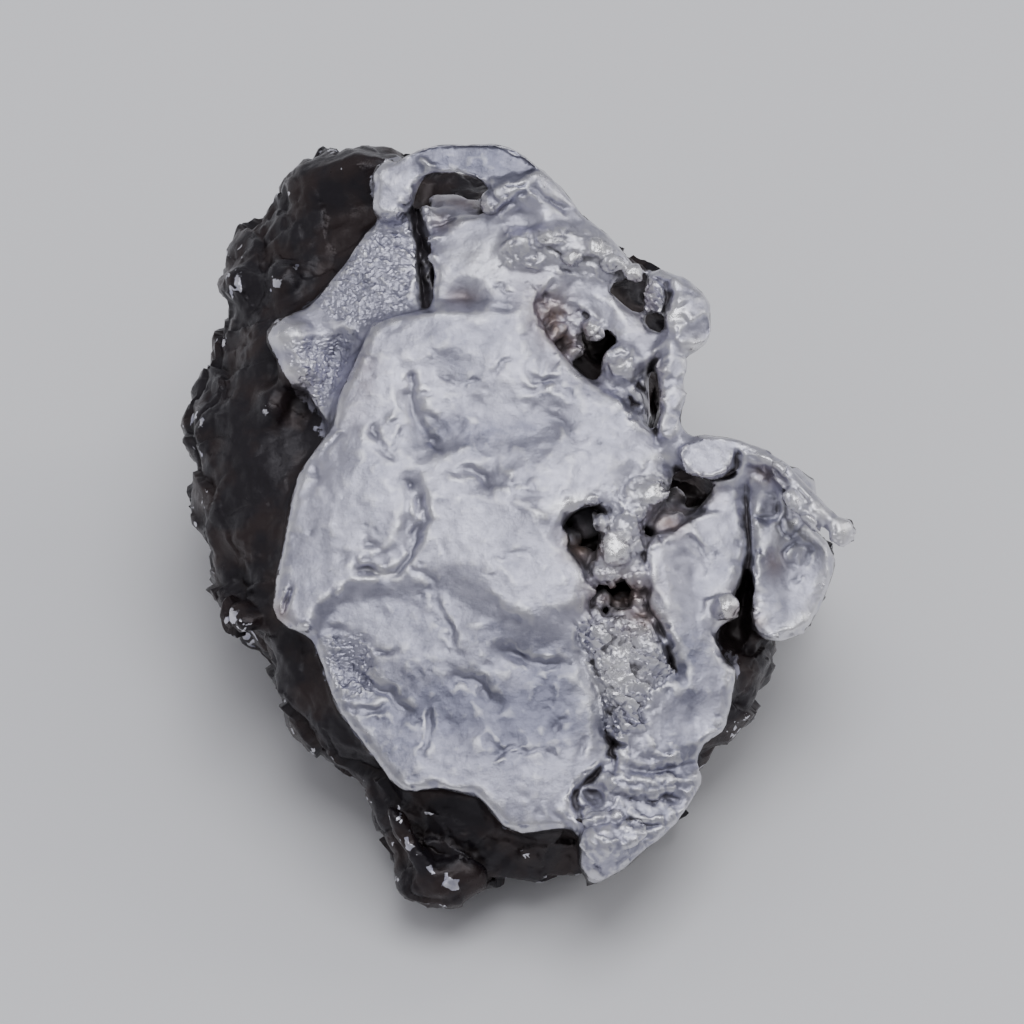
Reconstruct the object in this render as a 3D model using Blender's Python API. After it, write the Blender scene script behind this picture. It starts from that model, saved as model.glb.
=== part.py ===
# Iron meteorite: one solid lump of natural nickel-iron, lying loose on a small flat spot.
# Bright folded plates cover its upper side, with open crevices between them. The flanks, the back and the
# underside are rougher, with ledges, knobs and thumbprint hollows.
import math
import random

import bmesh
import bpy
import numpy as np
from mathutils import Matrix, Vector, noise
from mathutils.bvhtree import BVHTree

# Lengths are in millimetres until the finished lump is scaled to metres
MM = 0.001
FLOOR_LEVEL = -18.0          # height of the surface that the lump lies on, below the middle of the main plate
FACE_ELEVATION = math.radians(49.0)
FACE_SIN = math.sin(FACE_ELEVATION)
FACE_COS = math.cos(FACE_ELEVATION)
PLATE_LEAN = -0.30           # how fast the plates fall back per millimetre up the face
CROWN_ACROSS = 0.011         # rounding of the whole face, per square millimetre from its middle
CROWN_ALONG = 0.004
CROWN_MIDDLE = (-1.0, -1.0)

VOXEL = 0.36                 # grain of the joined lump before it is thinned
TRIANGLES = 9000
SMOOTH_TURNS = 1

# Outline of the whole lump as seen square to its face, read clockwise from the top
BODY_OUTLINE = (
    (-1.2, 19.7), (1.5, 18.2), (4.6, 16.0), (7.4, 13.8), (9.8, 11.8), (9.8, 9.4), (8.9, 7.0), (9.3, 4.4),
    (12.6, 2.8), (15.6, 1.0), (17.4, -1.8), (16.6, -4.8), (14.6, -6.8), (13.0, -9.5), (12.2, -13.0),
    (10.2, -17.0), (7.2, -19.9), (3.0, -21.3), (-1.0, -21.9), (-4.5, -21.2), (-7.5, -18.5), (-9.5, -15.5),
    (-11.6, -12.0), (-14.0, -9.0), (-16.4, -6.4), (-17.4, -4.0), (-17.9, -1.0), (-18.3, 3.0), (-19.0, 6.5),
    (-17.6, 10.6), (-16.7, 12.6), (-16.5, 15.2), (-14.3, 17.6), (-12.2, 19.6), (-9.0, 21.4), (-6.0, 20.2),
    (-3.6, 20.3),
)
# Rings under the plates, from the front to the back: depth, size against the outline, lean
BODY_RINGS = (
    (-3.2, 0.45, -0.30),
    (-3.7, 0.82, -0.30),
    (-5.6, 0.96, -0.28),
    (-8.0, 1.00, -0.24),
    (-11.5, 0.94, -0.20),
    (-14.0, 0.76, -0.10),
    (-15.5, 0.45, -0.10),
)
BODY_MIDDLE = (-1.0, -0.5)

# The masses behind the face, in X, Y and Z: middle, then radii
MASSES = (
    (-2.0, 2.0, -8.0, 13.5, 15.0, 10.0),
    (-8.5, 9.0, -6.5, 9.0, 10.5, 8.6),
    (7.5, -2.0, -8.6, 7.4, 8.6, 7.6),
    (3.0, 11.0, -4.0, 6.6, 7.0, 8.4),
    (1.0, -7.5, -10.4, 8.4, 7.4, 6.4),
    (-7.5, 15.5, -2.5, 7.0, 5.8, 5.4),
    (14.2, -1.0, -3.6, 3.0, 4.2, 3.6),
)
FACE_DEPTH = 3.4             # how far the masses stay behind the middle plane, so that the crevices are deep
BOWL_MIDDLE = (0.0, 1.0)     # the underside is a shallow bowl about this spot, in X and Y
BOWL_TOP = 0.5               # how far the bowl stays above the surface that the lump lies on
BOWL_RISE = 0.013            # how fast it rises away from the spot, per square millimetre

# Plates of the face: height above the leaning middle plane, thickness, and the outline
PLATES = {
    "main": (0.4, 5.5, (
        (-8.0, 10.9), (-6.0, 11.5), (-4.3, 11.8), (-1.0, 11.6), (1.4, 11.8), (1.8, 10.6), (2.3, 9.7), (3.2, 8.5),
        (4.3, 7.6), (5.3, 7.1), (6.4, 6.2), (7.8, 4.8), (7.6, 3.3), (6.2, 2.7), (5.9, 1.8), (5.5, 0.9),
        (4.4, 0.6), (3.3, 0.2), (2.6, -0.6), (2.7, -1.3), (3.9, -2.8), (4.3, -4.2), (4.3, -5.4),
        (3.4, -6.3), (1.0, -5.9), (-1.0, -4.7), (-2.4, -3.8), (-3.9, -2.6), (-5.0, -3.2), (-7.0, -3.9),
        (-9.4, -4.1), (-11.0, -5.3), (-11.5, -6.7), (-12.8, -6.3), (-13.5, -5.4), (-13.3, -3.2),
        (-12.8, -0.5), (-12.0, 2.4), (-10.8, 4.3), (-10.1, 5.2), (-9.8, 6.8), (-8.7, 9.2),
    )),
    "lower": (-0.3, 6.0, (
        (-11.0, -5.0), (-9.4, -3.4), (-5.0, -2.2), (-2.0, -3.0), (2.0, -5.0), (3.6, -5.6), (4.1, -7.4),
        (4.8, -9.4), (5.1, -12.0), (5.1, -14.0), (3.8, -15.0), (3.2, -16.2), (3.3, -17.6), (0.5, -18.0),
        (-0.6, -17.6), (-1.8, -15.8), (-4.4, -15.3), (-5.9, -15.6), (-6.8, -15.0), (-8.4, -13.0),
        (-9.8, -11.0), (-10.4, -9.0), (-11.1, -7.0),
    )),
    "rubble": (-0.8, 3.0, (
        (3.4, -5.8), (7.4, -5.9), (8.3, -7.4), (8.9, -9.0), (7.6, -9.8), (6.2, -10.8), (5.4, -12.4),
        (5.4, -14.4), (4.7, -12.0), (4.4, -9.4),
    )),
    "upper": (0.2, 3.6, (
        (-4.3, 10.6), (-4.3, 12.4), (-4.1, 13.8), (-4.6, 14.6), (-4.5, 15.7), (-3.2, 17.2), (-1.2, 17.0),
        (0.9, 18.6), (2.6, 18.2), (4.6, 16.8), (6.3, 15.3), (7.3, 14.3), (6.9, 13.3), (5.7, 13.3), (4.4, 13.3),
        (3.0, 13.7), (1.3, 13.4), (1.3, 11.9), (1.7, 10.8), (0.0, 9.6),
    )),
    "left_wedge": (-0.9, 3.6, (
        (-7.0, 17.8), (-6.0, 17.6), (-5.4, 15.4), (-5.3, 12.4), (-5.7, 11.2), (-8.0, 10.4), (-12.4, 10.0),
        (-13.7, 10.0), (-12.8, 11.4), (-11.5, 12.0), (-10.4, 13.2), (-9.3, 14.8), (-8.2, 16.4),
    )),
    "left_shelf": (-1.4, 2.6, (
        (-13.4, 10.6), (-8.4, 10.8), (-9.4, 7.0), (-10.4, 5.0), (-11.3, 6.4), (-11.6, 8.0), (-13.0, 9.0),
    )),
    "tongue": (0.2, 1.8, (
        (1.9, 13.9), (3.4, 13.2), (5.4, 12.7), (6.4, 12.0), (7.2, 11.4), (7.9, 10.5), (9.2, 10.0), (9.0, 9.2),
        (8.2, 8.5), (7.4, 8.8), (6.9, 9.8), (5.9, 10.2), (4.9, 11.2), (4.0, 11.8), (2.9, 12.2), (1.8, 12.8),
    )),
    "tall_right": (-0.1, 6.0, (
        (12.9, 1.9), (13.0, 0.4), (13.3, -1.6), (13.1, -3.0), (12.8, -4.0), (12.2, -4.7), (12.2, -5.6),
        (11.5, -6.6), (11.6, -7.6), (12.7, -8.8), (12.4, -10.4), (12.2, -12.2), (10.8, -13.0), (10.6, -14.2),
        (11.1, -15.0), (9.4, -17.4), (6.2, -20.2), (4.4, -20.9), (3.7, -19.6), (3.8, -17.8), (3.6, -16.6),
        (4.3, -15.3), (5.5, -14.6), (5.7, -12.8), (6.5, -11.1), (7.8, -10.1), (9.2, -9.2), (8.8, -7.4),
        (8.1, -6.0), (7.7, -4.2), (7.8, -2.0), (8.0, -1.2), (9.2, -0.7), (10.4, 0.2), (11.2, 1.4), (11.8, 1.9),
    )),
    "far_right": (0.6, 6.5, (
        (13.6, 1.8), (14.6, 1.6), (15.7, 0.9), (16.3, 0.1), (17.1, -0.7), (17.9, -1.4), (18.3, -2.6),
        (17.9, -4.0), (17.3, -5.2), (16.5, -6.6), (15.4, -7.1), (14.2, -7.0), (13.6, -5.6), (13.9, -4.2),
        (13.6, -3.2), (13.8, -2.0), (13.6, -0.4),
    )),
    "ridged_step": (-0.5, 2.6, (
        (5.0, 7.6), (6.0, 8.6), (7.6, 8.4), (7.9, 5.4), (7.6, 4.2), (5.8, 5.6),
    )),
    "front_foot": (-5.4, 4.0, (
        (-8.2, -15.5), (-3.0, -16.5), (-2.2, -19.8), (-4.4, -21.9), (-6.6, -20.2),
    )),
}
PLATE_TAPER = 0.88
PLATE_SHOULDER = 0.5         # how much of a plate's thickness keeps its full outline

# Rods, folds and rims: points across, up and above the middle plane, each with its own radius
RODS = {
    "loop": (
        (-7.0, 17.8, 0.2, 1.15), (-6.5, 19.3, 0.6, 1.05), (-5.0, 20.3, 1.1, 0.85), (-3.0, 20.5, 1.3, 0.90),
        (-1.3, 20.2, 1.2, 1.10), (0.0, 19.5, 0.9, 1.25), (1.3, 18.4, 0.4, 1.25), (2.6, 17.4, -0.2, 1.15),
    ),
    "loop_tip": ((0.2, 19.4, 0.9, 0.85), (-0.4, 18.4, 0.9, 0.65), (-1.1, 17.5, 0.6, 0.45)),
    "crescent": (
        (8.1, 13.7, 0.3, 0.65), (9.1, 13.0, 0.7, 1.05), (9.9, 11.8, 0.8, 1.35), (10.1, 10.6, 0.7, 1.30),
    ),
    "peg": ((9.0, 9.2, 0.2, 0.95), (9.1, 8.0, 0.3, 0.90), (9.0, 6.4, 0.2, 0.85), (9.1, 4.4, 0.2, 0.85)),
    "bridge": ((8.5, 1.7, -0.3, 0.90), (7.0, 0.9, -0.6, 1.20), (6.3, -0.4, -0.7, 1.15), (5.6, -2.9, -1.2, 1.05)),
    "bridge_root": ((6.8, 1.7, -1.2, 0.80), (6.0, 0.4, -1.4, 0.80), (5.6, -1.0, -1.6, 0.80)),
    "rim": (
        (12.2, 4.0, 0.8, 0.60), (13.7, 3.6, 1.4, 0.55), (15.0, 2.8, 1.9, 0.60), (15.9, 1.7, 2.3, 0.60),
        (17.3, 0.3, 2.9, 0.60), (18.7, -0.9, 3.5, 0.50),
    ),
    "front_strip": ((-6.6, -16.9, -3.0, 0.55), (-5.9, -18.4, -3.4, 0.60), (-5.0, -19.9, -3.8, 0.55)),
    "back_ridge": ((-12.4, 18.2, -6.6, 1.20), (-10.6, 19.8, -6.4, 1.00), (-8.8, 20.8, -6.6, 0.90)),
}
ROD_SPACING = 0.45           # step between the balls of a rod, against its radius

# Rounded lumps: across, up, above the middle plane, then the three radii
LUMPS = (
    (11.1, 3.4, 0.2, 1.90, 1.35, 1.40),
    (9.0, 3.6, -0.8, 1.30, 1.10, 1.20),
    (6.2, 8.6, -0.2, 1.15, 1.15, 1.10),
    (5.9, -2.0, -0.2, 1.05, 1.05, 0.95),
    (8.0, 1.3, 0.2, 0.85, 0.80, 0.80),
    (8.2, 12.5, 0.0, 0.85, 1.05, 1.20),
    (7.8, 2.8, -0.7, 1.20, 1.20, 1.20),
    (8.8, -0.1, -2.4, 1.70, 1.10, 1.20),
    (-6.6, 18.8, 0.3, 1.35, 1.35, 1.30),
    (-4.8, 16.7, -1.3, 1.00, 1.10, 1.20),
    (-3.2, 16.8, -2.4, 1.80, 1.10, 1.60),
    (-12.8, 10.2, -1.2, 1.30, 1.20, 1.60),
    (-12.2, 8.3, -1.8, 1.30, 1.20, 1.60),
    (2.2, 15.8, 0.5, 1.10, 1.00, 0.90),
    (3.7, 15.2, 0.4, 1.00, 0.90, 0.90),
    (0.4, 15.2, 0.4, 1.00, 1.00, 0.80),
    (5.4, 14.7, 0.4, 0.90, 0.80, 0.80),
    (5.2, -18.6, 0.2, 1.60, 1.40, 1.60),
    (12.0, -5.3, -0.2, 0.90, 0.80, 1.20),
    (4.6, -7.0, -1.0, 1.10, 1.00, 1.10),
    (6.4, -6.6, -1.2, 1.20, 1.10, 1.20),
    (5.7, -8.6, -1.0, 1.20, 1.10, 1.20),
    (7.6, -8.2, -1.1, 1.10, 1.10, 1.20),
    (6.2, -10.4, -0.9, 1.00, 1.00, 1.10),
    (7.4, -10.2, -1.6, 1.30, 1.10, 1.40),
    (-15.8, 13.2, -6.0, 1.60, 1.40, 2.40),
    (-17.6, 5.2, -7.0, 1.60, 2.20, 2.60),
    (-15.4, -6.2, -5.0, 1.50, 1.40, 2.00),
    (-13.8, 6.2, -3.4, 1.00, 1.30, 1.60),
    (-13.3, 13.6, -4.4, 1.50, 1.20, 1.80),
    (-3.8, -20.6, -5.6, 1.80, 1.20, 2.00),
    (15.2, 1.4, -1.2, 2.30, 1.60, 2.40),
    (13.2, 2.6, -1.0, 1.60, 1.40, 2.00),
)

# Hollows pressed into the face: across, up, the two radii and the depth
HOLLOWS = (
    (-2.0, 6.0, 5.5, 3.6, 0.55),
    (-4.0, 8.2, 1.5, 1.2, 0.40),
    (-4.7, 4.4, 1.3, 1.0, 0.40),
    (-1.5, 2.2, 1.2, 0.9, 0.45),
    (2.4, 5.6, 2.0, 1.1, 0.30),
    (-11.0, 2.6, 0.9, 0.8, 0.35),
    (-2.8, 12.5, 1.4, 0.9, 0.60),
    (3.6, 10.6, 2.0, 2.4, 1.60),
    (5.0, 9.4, 1.0, 1.6, 1.20),
    (4.1, -0.8, 1.2, 1.1, 2.00),
    (6.0, -4.7, 1.5, 1.1, 2.20),
    (9.9, 1.1, 1.4, 0.8, 1.80),
    (12.7, -6.6, 0.7, 1.1, 1.20),
    (-9.2, -8.4, 1.4, 1.6, 0.40),
    (-0.2, -7.6, 1.2, 0.7, 0.45),
    (1.6, -11.0, 4.0, 3.0, 0.35),
    (-4.0, -12.0, 3.0, 2.6, 0.30),
    (4.4, -15.8, 0.9, 0.9, 0.90),
    (8.6, 12.7, 0.6, 0.9, 0.50),
    (10.4, -3.4, 1.2, 2.6, 0.35),
    (15.8, -3.4, 1.4, 2.0, 0.40),
    (10.0, -11.0, 1.8, 1.8, 0.30),
)

# Creases and cracks in the face: width, depth, then the points across and up
CREASES = (
    (0.70, 2.40, ((-5.9, 18.2), (-5.3, 17.0), (-5.05, 15.6), (-4.9, 13.5), (-4.8, 12.1))),
    (0.75, 0.60, ((-5.7, 2.0), (-5.4, 0.2), (-5.9, -1.7), (-7.2, -3.0), (-8.5, -2.9))),
    (0.70, 0.45, ((-6.2, 8.3), (-5.9, 7.2), (-5.4, 5.4))),
    (0.60, 0.80, ((3.4, -6.0), (4.2, -8.0), (5.0, -10.0), (5.3, -12.2), (5.5, -14.4))),
    (0.45, 1.00, ((5.9, 12.9), (7.1, 12.2), (8.0, 11.2), (8.7, 10.4))),
    (0.50, 1.00, ((7.2, 13.5), (7.7, 14.1))),
    (0.40, 1.00, ((8.4, 9.0), (7.9, 8.2), (8.0, 6.6), (8.0, 4.8))),
    (0.70, 1.20, ((7.6, -4.8), (8.1, -6.0), (8.8, -7.6), (9.4, -9.0))),
    (0.60, 0.80, ((13.2, 1.8), (13.3, 0.0), (13.6, -1.6), (13.3, -3.4), (13.1, -4.6))),
    (0.70, 0.50, ((-3.2, -9.0), (-2.0, -9.4), (-1.0, -10.6))),
    (0.70, 0.45, ((-9.0, -9.0), (-7.0, -10.0), (-6.0, -11.0))),
    (0.70, 0.45, ((0.4, -8.0), (1.8, -8.5), (3.2, -8.3))),
    (0.70, 0.50, ((1.3, 18.9), (2.0, 18.2), (3.2, 17.5))),
    (0.80, 0.60, ((6.6, -13.8), (8.6, -14.2), (10.4, -13.8))),
    (0.80, 0.60, ((6.2, -16.2), (8.0, -16.2), (9.4, -15.8))),
    (0.70, 0.70, ((-9.8, 10.0), (-10.4, 7.6), (-11.0, 5.6))),
)
HOLLOW_FALL = 1.4            # how quickly a hollow fades from its middle
CREASE_SHARPNESS = 1.5

# Chips of broken crust on the flanks, the back and the underside
CHIP_COUNT = 110
CHIP_SEED = 11
CHIP_SIZE = (1.8, 5.0)
CHIP_THICKNESS = (2.0, 4.0)
CHIP_CORNERS = (5, 7)
CHIP_UNEVENNESS = 0.25       # how far a corner strays from its even place, against their spacing
CHIP_REACH = (0.75, 1.15)
CHIP_ASPECT = (1.15, 0.85)
CHIP_LIFT = 0.9              # how far a chip's flat top stands out of the body
CHIP_BEVEL = 0.5
CHIP_TOP_SIZE = 0.86
CHIP_ROOT_SIZE = 0.9
CHIP_LEAN = 0.42
CHIP_FREE_FACE = 0.12        # chips start where a direction turns this far from the viewer

# Thumbprint hollows on the flanks and the back: across, along and up from the lump's middle, radius, depth
THUMBPRINTS = (
    (-0.9, -0.3, -0.2, 4.2, 1.5),
    (-0.8, 0.6, 0.0, 4.6, 1.6),
    (-0.3, 1.0, 0.3, 4.4, 1.5),
    (0.4, 0.9, -0.1, 5.0, 1.8),
    (0.9, 0.4, 0.1, 4.2, 1.6),
    (0.9, -0.4, -0.5, 4.0, 1.5),
    (0.2, -0.9, -0.6, 4.0, 1.5),
    (-0.5, -0.8, -0.5, 3.6, 1.2),
    (-0.2, 0.9, -0.6, 4.0, 1.3),
    (0.6, 0.6, 0.7, 3.0, 1.1),
)
THUMBPRINT_FALL = 2.0
LUMP_MIDDLE = (-1.0, 4.0, -7.5)
OUTSIDE = 60.0               # a distance from the lump's middle that is well outside it

# Where the bright face ends: by how far the surface turns from the viewer, and by its depth below the plates
FACE_TURN = (0.25, 0.65)
FACE_REACH = (-5.0, -2.5)

# Natural unevenness: size of the waves and their height, on the rough sides and on the face
WAVES = ((7.5, 1.10, 0.30), (3.1, 0.50, 0.12), (1.5, 0.22, 0.05))

# Finish of the metal
METAL_COLOUR = (0.50, 0.50, 0.56)
METAL_ROUGHNESS = 0.32
SHARP_EDGE = math.radians(40.0)


def clear_scene():
    for thing in list(bpy.data.objects):
        bpy.data.objects.remove(thing, do_unlink=True)


def face_to_body(across, up, out):
    """A point of the slanted face, with out measured square to it, in the lump's own X, Y and Z."""
    return Vector((across, up * FACE_SIN - out * FACE_COS, up * FACE_COS + out * FACE_SIN))


def middle_plane(up, lean=PLATE_LEAN):
    return lean * up


def add_shell(lump, rings):
    """Adds a closed shell through rings of equally many points, with both ends filled."""
    loops = [[lump.verts.new(point) for point in ring] for ring in rings]
    count = len(loops[0])
    for near, far in zip(loops, loops[1:]):
        for index in range(count):
            after = (index + 1) % count
            lump.faces.new((near[index], near[after], far[after], far[index]))
    ends = [lump.faces.new(loops[0]), lump.faces.new(list(reversed(loops[-1])))]
    bmesh.ops.triangulate(lump, faces=ends)


def add_body(lump):
    """What lies under the plates: rings that follow the outline, and the big masses behind them."""
    middle_across, middle_up = BODY_MIDDLE
    rings = []
    for depth, size, lean in BODY_RINGS:
        ring = []
        for across, up in BODY_OUTLINE:
            ring_across = middle_across + (across - middle_across) * size
            ring_up = middle_up + (up - middle_up) * size
            ring.append(above_bowl(face_to_body(ring_across, ring_up, depth + middle_plane(ring_up, lean))))
        rings.append(ring)
    add_shell(lump, rings)
    for mass in MASSES:
        add_mass(lump, mass[:3], mass[3:])


def add_plate(lump, level, thickness, outline):
    """A flat plate of the face, a little narrower at its back."""
    middle_across = sum(point[0] for point in outline) / len(outline)
    middle_up = sum(point[1] for point in outline) / len(outline)
    rings = []
    for size, drop in ((1.0, 0.0), (1.0, PLATE_SHOULDER), (PLATE_TAPER, 1.0)):
        ring = []
        for across, up in outline:
            ring_across = middle_across + (across - middle_across) * size
            ring_up = middle_up + (up - middle_up) * size
            height = level + middle_plane(up) - thickness * drop
            ring.append(face_to_body(ring_across, ring_up, height))
        rings.append(ring)
    add_shell(lump, rings)


def add_ball(lump, centre, frame, detail):
    ball = bmesh.ops.create_icosphere(lump, subdivisions=detail, radius=1.0)
    for vertex in ball["verts"]:
        vertex.co = centre + frame @ vertex.co
    return ball["verts"]


def above_bowl(point):
    """The point, raised to the bowl of the underside where it lies below it."""
    reach = (point.x - BOWL_MIDDLE[0]) ** 2 + (point.y - BOWL_MIDDLE[1]) ** 2
    return Vector((point.x, point.y, max(point.z, FLOOR_LEVEL + BOWL_TOP + BOWL_RISE * reach)))


def behind_face(point):
    """The point, pushed back from the face where it would fill the crevices."""
    up = point.y * FACE_SIN + point.z * FACE_COS
    out = point.z * FACE_SIN - point.y * FACE_COS
    return face_to_body(point.x, up, min(out, middle_plane(up) - FACE_DEPTH))


def within_outline(point):
    """The point, drawn in towards the middle of the face where it would stand outside the lump's outline."""
    middle = Vector(BODY_MIDDLE)
    up = point.y * FACE_SIN + point.z * FACE_COS
    out = point.z * FACE_SIN - point.y * FACE_COS
    spoke = Vector((point.x, up)) - middle
    corners = sorted((math.atan2(*(Vector(corner) - middle).yx), (Vector(corner) - middle).length)
                     for corner in BODY_OUTLINE)
    angles, reaches = zip(*corners)
    reach = np.interp(math.atan2(spoke.y, spoke.x), angles, reaches, period=math.tau)
    spoke = middle + spoke * min(1.0, reach / max(spoke.length, 1.0))
    return face_to_body(spoke.x, spoke.y, out)


def add_mass(lump, centre, radii):
    """One of the big rounded masses, squared to X, Y and Z."""
    ball = add_ball(lump, Vector(centre), Matrix.Diagonal(radii), detail=3)
    for vertex in ball:
        vertex.co = above_bowl(behind_face(vertex.co))


def add_lump(lump, centre, radii, detail=3):
    """A lump on the face, squared to the face."""
    frame = Matrix((
        face_to_body(1, 0, 0) * radii[0],
        face_to_body(0, 1, 0) * radii[1],
        face_to_body(0, 0, 1) * radii[2],
    )).transposed()
    add_ball(lump, centre, frame, detail)


def add_rod(lump, points):
    """A rounded rod, made as a close row of balls between its points."""
    for start, end in zip(points, points[1:]):
        start, end = Vector(start), Vector(end)
        steps = max(2, round((end - start).to_3d().length / (ROD_SPACING * min(start.w, end.w))))
        for step in range(steps + 1):
            across, up, out, radius = start.lerp(end, step / steps)
            add_lump(lump, face_to_body(across, up, out + middle_plane(up)), (radius,) * 3, detail=2)


def add_chip(lump, centre, normal, size, thickness, dice):
    """A broken flake of crust, an uneven polygon standing on the surface."""
    side = normal.orthogonal().normalized()
    other = normal.cross(side)
    corners = dice.randint(*CHIP_CORNERS)
    turn = dice.uniform(0, math.tau)
    outline = []
    for corner in range(corners):
        angle = turn + math.tau * (corner + dice.uniform(-CHIP_UNEVENNESS, CHIP_UNEVENNESS)) / corners
        reach = size * dice.uniform(*CHIP_REACH)
        along = side * math.cos(angle) * CHIP_ASPECT[0] + other * math.sin(angle) * CHIP_ASPECT[1]
        outline.append(along * reach)
    rings = []
    for grow, height in ((CHIP_TOP_SIZE, CHIP_LIFT), (1.0, CHIP_LIFT - CHIP_BEVEL), (CHIP_ROOT_SIZE, -thickness)):
        rings.append([within_outline(centre + normal * height + spoke * grow) for spoke in outline])
    add_shell(lump, rings)


def add_chips(lump, shape):
    """Chips all round the lump except on its face, spread evenly by turns of the golden angle."""
    dice = random.Random(CHIP_SEED)
    golden = math.pi * (3.0 - math.sqrt(5.0))
    middle = Vector(LUMP_MIDDLE)
    view = face_to_body(0, 0, 1)
    for index in range(CHIP_COUNT):
        height = 1.0 - 2.0 * (index + 0.5) / CHIP_COUNT
        around = golden * index
        reach = math.sqrt(1.0 - height * height)
        direction = Vector((reach * math.cos(around), reach * math.sin(around), height))
        lean = Vector([dice.uniform(-CHIP_LEAN, CHIP_LEAN) for _ in range(3)])
        size = dice.uniform(*CHIP_SIZE)
        thickness = dice.uniform(*CHIP_THICKNESS)
        if direction.dot(view) > CHIP_FREE_FACE:
            continue
        place, normal, _, _ = shape.ray_cast(middle + direction * OUTSIDE, -direction)
        if place is None:
            continue
        normal = (normal + lean).normalized()
        add_chip(lump, place, normal, size, thickness, dice)


def keep_outer_shell(mesh):
    """Deletes loose bodies and the shells of sealed inner gaps."""
    lump = bmesh.new()
    lump.from_mesh(mesh)
    unseen = set(lump.verts)
    largest = set()
    while unseen:
        group = {unseen.pop()}
        edge = list(group)
        while edge:
            vertex = edge.pop()
            for link in vertex.link_edges:
                other = link.other_vert(vertex)
                if other in unseen:
                    unseen.discard(other)
                    group.add(other)
                    edge.append(other)
        if len(group) > len(largest):
            largest = group
    bmesh.ops.delete(lump, geom=[vertex for vertex in lump.verts if vertex not in largest], context="VERTS")
    bmesh.ops.recalc_face_normals(lump, faces=lump.faces)
    lump.to_mesh(mesh)
    lump.free()


def apply_modifier(thing, kind, **settings):
    """Adds one modifier, sets it and keeps its result as the mesh."""
    modifier = thing.modifiers.new(kind, kind)
    for name, value in settings.items():
        setattr(modifier, name, value)
    shape = thing.evaluated_get(bpy.context.evaluated_depsgraph_get())
    mesh = bpy.data.meshes.new_from_object(shape)
    old = thing.data
    thing.modifiers.clear()
    thing.data = mesh
    bpy.data.meshes.remove(old)


def remesh(thing, voxel):
    apply_modifier(thing, "REMESH", mode="VOXEL", voxel_size=voxel, adaptivity=0.0)
    keep_outer_shell(thing.data)


def read_points(mesh):
    points = np.empty(len(mesh.vertices) * 3)
    mesh.vertices.foreach_get("co", points)
    normals = np.empty(len(mesh.vertices) * 3)
    mesh.vertex_normals.foreach_get("vector", normals)
    return points.reshape(-1, 3), normals.reshape(-1, 3)


def write_points(mesh, points):
    mesh.vertices.foreach_set("co", points.ravel())
    mesh.update()


def face_coordinates(points):
    across = points[:, 0]
    up = points[:, 1] * FACE_SIN + points[:, 2] * FACE_COS
    out = points[:, 2] * FACE_SIN - points[:, 1] * FACE_COS
    return across, up, out


def smooth_step(low, high, values):
    share = np.clip((values - low) / (high - low), 0.0, 1.0)
    return share * share * (3.0 - 2.0 * share)


def front_share(points):
    """1 at the level of the plates and their edges, 0 deep behind them."""
    across, up, out = face_coordinates(points)
    crown = CROWN_ACROSS * (across - CROWN_MIDDLE[0]) ** 2 + CROWN_ALONG * (up - CROWN_MIDDLE[1]) ** 2
    return smooth_step(*FACE_REACH, out - PLATE_LEAN * up + crown)


def face_share(points, normals):
    """How much each point belongs to the bright face: 1 on the plates, 0 on the flanks and the back."""
    toward = normals[:, 2] * FACE_SIN - normals[:, 1] * FACE_COS
    return smooth_step(*FACE_TURN, toward) * front_share(points)


def distance_to_path(across, up, path):
    nearest = np.full(len(across), np.inf)
    for (start_across, start_up), (end_across, end_up) in zip(path, path[1:]):
        run_across, run_up = end_across - start_across, end_up - start_up
        along = (across - start_across) * run_across + (up - start_up) * run_up
        along = np.clip(along / (run_across ** 2 + run_up ** 2), 0.0, 1.0)
        gap = np.hypot(across - start_across - along * run_across, up - start_up - along * run_up)
        nearest = np.minimum(nearest, gap)
    return nearest


def round_face(thing):
    """Bends the whole lump so that its face is gently crowned."""
    points, _ = read_points(thing.data)
    across, up, _ = face_coordinates(points)
    drop = CROWN_ACROSS * (across - CROWN_MIDDLE[0]) ** 2 + CROWN_ALONG * (up - CROWN_MIDDLE[1]) ** 2
    points -= drop[:, None] * np.array(face_to_body(0, 0, 1))
    write_points(thing.data, points)


def carve_face(thing):
    """Presses the hollows and cuts the creases into the face."""
    points, normals = read_points(thing.data)
    across, up, _ = face_coordinates(points)
    cut = np.zeros(len(points))
    for hollow_across, hollow_up, radius_across, radius_up, depth in HOLLOWS:
        spread = ((across - hollow_across) / radius_across) ** 2 + ((up - hollow_up) / radius_up) ** 2
        cut += depth * np.exp(-HOLLOW_FALL * spread)
    for width, depth, path in CREASES:
        gap = distance_to_path(across, up, path)
        cut += depth * np.clip(1.0 - gap / width, 0.0, 1.0) ** CREASE_SHARPNESS
    cut *= face_share(points, normals)
    points -= cut[:, None] * np.array(face_to_body(0, 0, 1))
    write_points(thing.data, points)


def press_thumbprints(thing):
    points, normals = read_points(thing.data)
    rough = 1.0 - front_share(points)
    shape = BVHTree.FromPolygons([tuple(point) for point in points], [tuple(f.vertices) for f in thing.data.polygons])
    middle = Vector(LUMP_MIDDLE)
    for way_x, way_y, way_z, radius, depth in THUMBPRINTS:
        way = Vector((way_x, way_y, way_z)).normalized()
        place, _, _, _ = shape.ray_cast(middle + way * OUTSIDE, -way)
        gap = np.linalg.norm(points - np.array(place), axis=1)
        push = depth * np.exp(-THUMBPRINT_FALL * (gap / radius) ** 2) * rough
        points -= push[:, None] * normals
    write_points(thing.data, points)


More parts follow.
